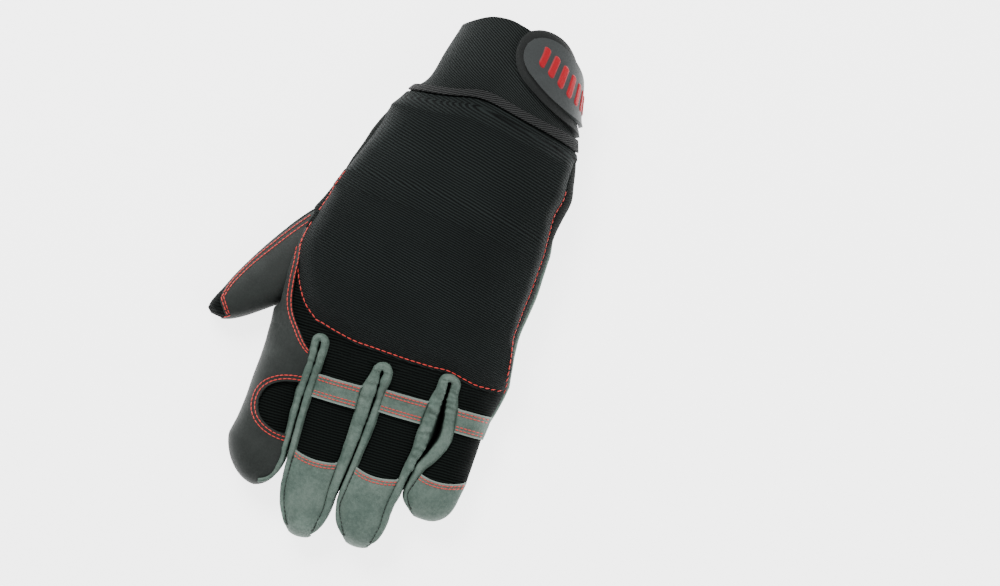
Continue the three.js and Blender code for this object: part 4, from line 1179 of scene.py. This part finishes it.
wall_trees = []
seam_lines = []
for s, (slit_name, *_) in enumerate(slits):

    def crumple(a, b, p, s=s):
        knot = (2 if s == 2 else 0.8) * smoothstep(0.36 - abs(a - 0.44), 0, 0.22)
        knot *= smoothstep(0.97 - b, 0, 0.15)
        fold = rough(p[0] * 0.7, p[1] * 2.4, 0, 4.5)
        deep = rough(p[0] * 1.1, p[1] * 1.8, 3, 8)
        creased = knot * (0.5 * fold + 0.55 * deep) + 0.45 * rough(*p, 8)
        return smoothstep(b, 0.3, 0.6) * creased + 0.12 * rough(*p, 3)

    # painted shade: the lower part of each side wall, where the fingers lie together, is painted dark
    def shade(a, b, p, s=s):
        deep = 1 - smoothstep(b, 0.3, 0.52)
        return -0.88 * deep * smoothstep(p[1], PARTING[s] - 4, PARTING[s] + 4)

    _, tree = panel(
        f"{slit_name}_side_wall",
        wall_surface(s),
        300,
        32,
        crumple,
        WALL_SHEET,
        (f"fourchette_{slit_name}",),
        round_edge=0.3,
        tint_and_painted_shade=shade,
    )
    wall_trees.append(tree)
    for i in (s, s + 1):
        if i == 0:
            continue
        sides = (0, 0.42) if i == s else (1, 0.58)
        line = [wall_surface(s)(lerp(*sides, k / 80), 0.9)[:2] for k in range(1, 81)]
        seam_lines.append([spot for spot in line if spot[1] < -FINGERS[i][7] * FINGERS[i][1] - CAP_DIP])


# The palm


def flat(u, v, p):
    return 0.0


def palm_sole(u, v):
    guess = lerp(0, SEAM_Y, v)
    step_across, drop = sole_step(u * (1 - 0.2 * thumb_door(guess)), PALM_ROUND / body_section(guess)[1])
    y = lerp(knuckle_line(step_across), seam_line(step_across) - GAP, v)
    middle, half, _, low, seam = body_section(y)
    return middle + half * step_across, y, lerp(seam - GAP / 2, low, drop)


panel("palm_leather", palm_sole, 90, 100, flat, GREY_SHEET, ("palm",))


def finger_sole(i):
    length = FINGERS[i][1]
    root = knuckle_near(i)(0)

    def surface(u, v):
        y = lerp(-length, root, v**1.6)
        middle, half, _, _, rounding = finger_section(i, y)
        right_edge = sole_edge(slits[i], y, rounding) if i < 3 else SIDE_SEAM - GAP / 2
        left_edge = sole_edge(slits[i - 1], y, rounding) if i > 0 else SIDE_SEAM - GAP / 2
        inner = i < 3 if u < 0.5 else i > 0
        corner = min((FINGER_PALM_ROUND if inner else PALM_ROUND / 2) / half, 0.9)
        step_across, drop = sole_step(u, corner)
        edge = right_edge if u < 0.5 else left_edge
        return middle + half * step_across, y, lerp(edge, sole_curl(rounding), drop)

    return surface


for i in (1, 2, 3):
    panel(f"{FINGERS[i][0]}_finger_front", finger_sole(i), 44, 70, flat, GREY_SHEET, ("palm",))


def palm_rim(u, v):
    """The palm leather's turned edge, along the little finger's side of the hand."""
    y = lerp(-26, 76, v)
    middle, half, *_ = body_section(y)
    turn = lerp(-2, 2, u)
    show = smoothstep(min(v, 1 - v), 0, 0.12)
    return middle + half - 0.9 + show * 1.5 * math.cos(turn), y, SIDE_SEAM - 0.8 + 1.4 * math.sin(turn)


panel("palm_rim", palm_rim, 12, 90, lambda u, v, p: 0.15 * rough(*p, 6), RIM_SHEET, ("palm",))


# The cuff, its seam tape, the strap and the badge


def ring_point(q, y):
    turn = q % 1
    if turn <= 0.5:
        return on_back(across_at(turn * 2, HAND_ARCH), y, 0)
    middle, half, _, low, seam = body_section(y)
    step_across, drop = sole_step(turn * 2 - 1, PALM_ROUND / half)
    return middle + half * step_across, y, lerp(seam, low, drop)


def ring_across(q):
    turn = q % 1
    if turn <= 0.5:
        return across_at(turn * 2, HAND_ARCH)
    return sole_step(turn * 2 - 1, PALM_ROUND / (HAND_WIDTH * 0.25))[0]


def cuff_surface(u, v):
    across = ring_across(u)
    return ring_point(u, lerp(seam_line(across) + GAP, mouth_line(across), v))


panel(
    "knit_cuff",
    cuff_surface,
    220,
    60,
    lambda u, v, p: 0.35 * rough(*p, 16),
    CUFF_SHEET,
    ("cuff",),
    round_edge=0.8,
)


def tape_surface(u, v):
    q = lerp(0.02, 0.48, u)
    across = ring_across(q)
    width = TAPE_WIDTH * lerp(0.7, 1.2, u)
    return ring_point(q, lerp(seam_line(across) + 2 * GAP, seam_line(across) + width, v))


panel(
    "knit_seam_tape",
    tape_surface,
    120,
    10,
    lambda u, v, p: GAP + TAPE_THICKNESS,
    TAPE_SHEET,
    ("cuff_seam_tape",),
    round_edge=0.5,
)


# The strap's way round the wrist, in shares of a turn, from the top.
RING_TOP = 0.25
RING_REACH = 0.72
RING_STEPS = 60
STRAP_Y = SEAM_Y + STRAP_UP * CUFF_LENGTH + STRAP_RAISE
girth_rows = []
girth = 0
for k in range(RING_STEPS + 1):
    q = RING_TOP + k / RING_STEPS * RING_REACH
    before = RING_TOP + max(k - 1, 0) / RING_STEPS * RING_REACH
    girth += math.dist(ring_point(q, STRAP_Y), ring_point(before, STRAP_Y))
    girth_rows.append((girth, q))
ring_step = curve(girth_rows, 1)


def strap_drop(along):
    """How far the strap has come down towards the hand at a distance along it."""
    bow = STRAP_STEEPER * math.exp(-(((along - STRAP_STEEP_AT) / STRAP_STEEP_REACH) ** 2))
    return STRAP_FALL * (1 - math.exp(-along / STRAP_RUN)) + bow + STRAP_SAG * smoothstep(along, 0, 60)


def strap_surface(width, length, start):
    def surface(u, v):
        along = start + length * v
        slope = math.atan(strap_drop(along - 0.5) - strap_drop(along + 0.5))
        rounding = clamp(1 - (along - start) / (width / 2), 0, 0.98)
        side = (0.5 - u) * width * math.sqrt(1 - rounding**2)
        reach = along - side * math.sin(slope)
        y = STRAP_Y - strap_drop(along) + side * math.cos(slope)
        if reach < 0:
            return ring_point(RING_TOP + reach * (ring_step(1) - ring_step(0)), y)
        return ring_point(ring_step(reach), y)

    return surface


panel(
    "closing_strap",
    strap_surface(STRAP_WIDTH, STRAP_LENGTH, STRAP_START),
    40,
    110,
    lambda u, v, p: 2 * GAP + STRAP_THICKNESS - 0.5 * (1 - smoothstep(min(u, 1 - u), 0, 0.08)),
    STRAP_SHEET,
    ("wrist_strap",),
    round_edge=0.9,
)

badge_start = STRAP_START + (STRAP_WIDTH - BADGE_WIDTH) / 2 - BADGE_SHIFT
badge_surface = strap_surface(BADGE_WIDTH, BADGE_LENGTH, badge_start)


def bar_depth(u, v):
    """How far inside one of the badge's raised slanting bars a place is, in millimetres."""
    aside = (u - 0.5) * BADGE_WIDTH
    along = v * BADGE_LENGTH - BAR_SLANT * aside - BAR_START
    nearest = clamp(round(along / BAR_PITCH), 0, BAR_COUNT - 1)
    return BAR_HALF - math.hypot(max(abs(aside) - BAR_REACH, 0), (along - nearest * BAR_PITCH) * BAR_LEAN)


def badge_lift(u, v, p):
    bars = 0.5 * smoothstep(bar_depth(u, v), -0.1, 0.35)
    return 4 * GAP + STRAP_THICKNESS + BADGE_THICKNESS + bars


panel(
    "rubber_badge",
    badge_surface,
    90,
    190,
    badge_lift,
    BADGE_SHEET,
    ("strap_badge",),
    round_edge=0.7,
    tint_and_painted_shade=lambda u, v, p: smoothstep(bar_depth(u, v), -0.15, 0.15),
)


# The thumb

thumb_outer, thumb_inner, thumb_top, thumb_split = (curve(THUMB_ROWS, c) for c in (1, 2, 3, 4))
THUMB_WAY = Vector((math.cos(THUMB_TURN), math.sin(THUMB_TURN)))
THUMB_ASIDE = Vector((THUMB_WAY.y, -THUMB_WAY.x))


def thumb_point(q, v):
    turn = q % 1
    arch = turn <= 0.5
    step_across, drop = sole_step(clamp(turn * 2 - 1, 0, 1), 0.3)
    across = -across_at(turn * 2, FINGER_ARCH) if arch else -step_across
    rise = arch_rise(across, FINGER_ARCH) if arch else -drop
    root_x = HAND_ROWS[2][1] * HAND_WIDTH
    root_y = THUMB_ROOT_UP * HAND_LENGTH
    tuck_in = 2 * GAP if arch else 2 * GAP + (PALM_ROUND - 3 * GAP) * drop
    along = sideways = 0
    for _ in range(3):
        share = along / THUMB_LENGTH
        sideways = lerp(thumb_inner(share), thumb_outer(share), (across + 1) / 2) * THUMB_WIDTH
        root = (tuck_in - THUMB_ASIDE.x * sideways) / THUMB_WAY.x
        along = lerp(root, THUMB_LENGTH, v)
    top = thumb_top(along / THUMB_LENGTH) * THUMB_HEIGHT
    curl = THUMB_SEAM * (1 - math.sqrt(1 - clamp((along / THUMB_LENGTH - 0.8) / 0.25, 0, 1) ** 2))
    z = lerp(THUMB_SEAM, max(top, THUMB_SEAM + 1), rise) if rise >= 0 else lerp(THUMB_SEAM, curl, -rise)
    x = root_x + THUMB_WAY.x * along + THUMB_ASIDE.x * sideways
    return x, root_y + THUMB_WAY.y * along + THUMB_ASIDE.y * sideways, z


def thumb_leather_end(q):
    return lerp(THUMB_CORNER, THUMB_LEATHER_END, smoothstep(q, 0.36, 0.5))


def thumb_leather_surface(u, v):
    q = lerp(0.93, thumb_split(THUMB_CORNER * max(v, 0)) + 0.01, u)
    return thumb_point(q, thumb_leather_end(q) * v)


def thumb_leather_rooted(u, v):
    """The thumb's leather, run on a little under the index finger's leather."""
    root = -0.17 * smoothstep(u, 0.45, 0.6)
    return thumb_leather_surface(u, lerp(root, 1, v))


def thumb_cloth_surface(u, v):
    """The thumb's edge in cloth, which runs on a little inside the hand."""
    along = lerp(-0.14, THUMB_LEATHER_END + 0.025, v)
    return thumb_point(lerp(thumb_split(max(along, 0)) - 0.01, -0.058, u), along)


def thumb_tip_surface(u, v):
    return thumb_point(1 - u, lerp(thumb_leather_end(1 - u) - 0.03, 0.997, v))


_, thumb_tree = panel(
    "thumb_leather_panel",
    thumb_leather_rooted,
    90,
    60,
    lambda u, v, p: 0.75 * smoothstep(u, 0.35, 0.55) + 0.2 * rough(*p, 12),
    DARK_SHEET,
    ("thumb_leather",),
)
panel("thumb_cloth", thumb_cloth_surface, 30, 60, flat, CLOTH_SHEET, ("thumb_back",))
panel("thumb_tip_cloth", thumb_tip_surface, 60, 16, lambda u, v, p: 0.1, CLOTH_SHEET, ("thumb_back",))


# Stitches


def pad_line(inset):
    """A row round the pad: down its left side, along its lower edge, up its right side."""
    side = inset / HAND_WIDTH
    end = inset / HAND_LENGTH
    points = [(side, lerp(0.62, end, k / 60)) for k in range(61)]
    points += [(lerp(side, 1 - side, k / 60), end) for k in range(61)]
    points += [(1 - side, lerp(end, 0.84, k / 60)) for k in range(61)]
    return [pad_surface(u, v)[:2] for u, v in points]


stitches("pad_stitches", [pad_line(PAD_ROW_INSET)], [pad_tree], pitch=2.9, length=2.5)
strip_lines = [
    [(wrap_edge(y / HAND_LENGTH) * HAND_WIDTH - inset, y) for y in range(-10, 47)]
    for inset in (1.1, 3)
]
stitches("index_stitches", strip_lines, [strip_tree, wrap_tree])
stitches("notch_stitches", [notch_line(1.2), notch_line(2.9)], [wrap_tree])
stitches("band_stitches", band_lines, band_trees, pitch=1.85, length=1.75)
stitches("cap_stitches", cap_lines, cap_trees, pitch=1.85, length=1.75)


def thumb_row(inset):
    """A row beside the thumb leather's edge, round its corner and along its end."""
    side = 1 - (inset - 0.7) / 30
    end = 1 - inset / (THUMB_LENGTH * THUMB_CORNER)
    path = [thumb_leather_surface(side, -0.1 + (end + 0.1) * k / 44)[:2] for k in range(45)]
    return path + [thumb_leather_surface(side - (side - 0.62) * k / 16, end)[:2] for k in range(1, 17)]


stitches(
    "cap_seam_stitches",
    seam_lines,
    [*wall_trees, *cap_trees],
    BLACK_THREAD,
    pitch=2,
    length=1.6,
    wide=0.55,
)
stitches("thumb_stitches", [thumb_row(1.1), thumb_row(2.4)], [thumb_tree])


# Floor and light

FLOOR_GLOW = 3.4
FLOOR_DROP = 0.0005
SKY_LIGHT = 0.45

floor_mesh = bpy.data.meshes.new("floor")
floor_bm = bmesh.new()
bmesh.ops.create_grid(floor_bm, x_segments=1, y_segments=1, size=4)
floor_bm.to_mesh(floor_mesh)
floor_bm.free()
pale = material("floor", None, (0.9, 0.9, 0.9), 0.9, specular=0.1)
glow = pale.node_tree.nodes["Principled BSDF"].inputs
glow["Emission Color"].default_value = (1, 1, 1, 1)
glow["Emission Strength"].default_value = FLOOR_GLOW
floor_mesh.materials.append(pale)
floor = bpy.data.objects.new("floor", floor_mesh)
floor.location.z = -FLOOR_DROP
bpy.context.scene.collection.objects.link(floor)

world = bpy.data.worlds.new("studio")
world.use_nodes = True
sky = world.node_tree.nodes["Background"].inputs
sky["Color"].default_value = (1, 1, 1, 1)
sky["Strength"].default_value = SKY_LIGHT
bpy.context.scene.world = world


def softbox(name, place, size, power):
    light_data = bpy.data.lights.new(name, "AREA")
    light_data.shape = "RECTANGLE"
    light_data.size, light_data.size_y = size
    light_data.energy = power
    light = bpy.data.objects.new(name, light_data)
    light.location = place
    light.rotation_euler = (-Vector(place)).to_track_quat("-Z", "Y").to_euler()
    bpy.context.scene.collection.objects.link(light)


softbox("main light", (-0.5, 0.75, 0.9), (0.7, 0.5), 20)
softbox("fill light", (0.9, -0.3, 0.8), (0.8, 0.8), 6)
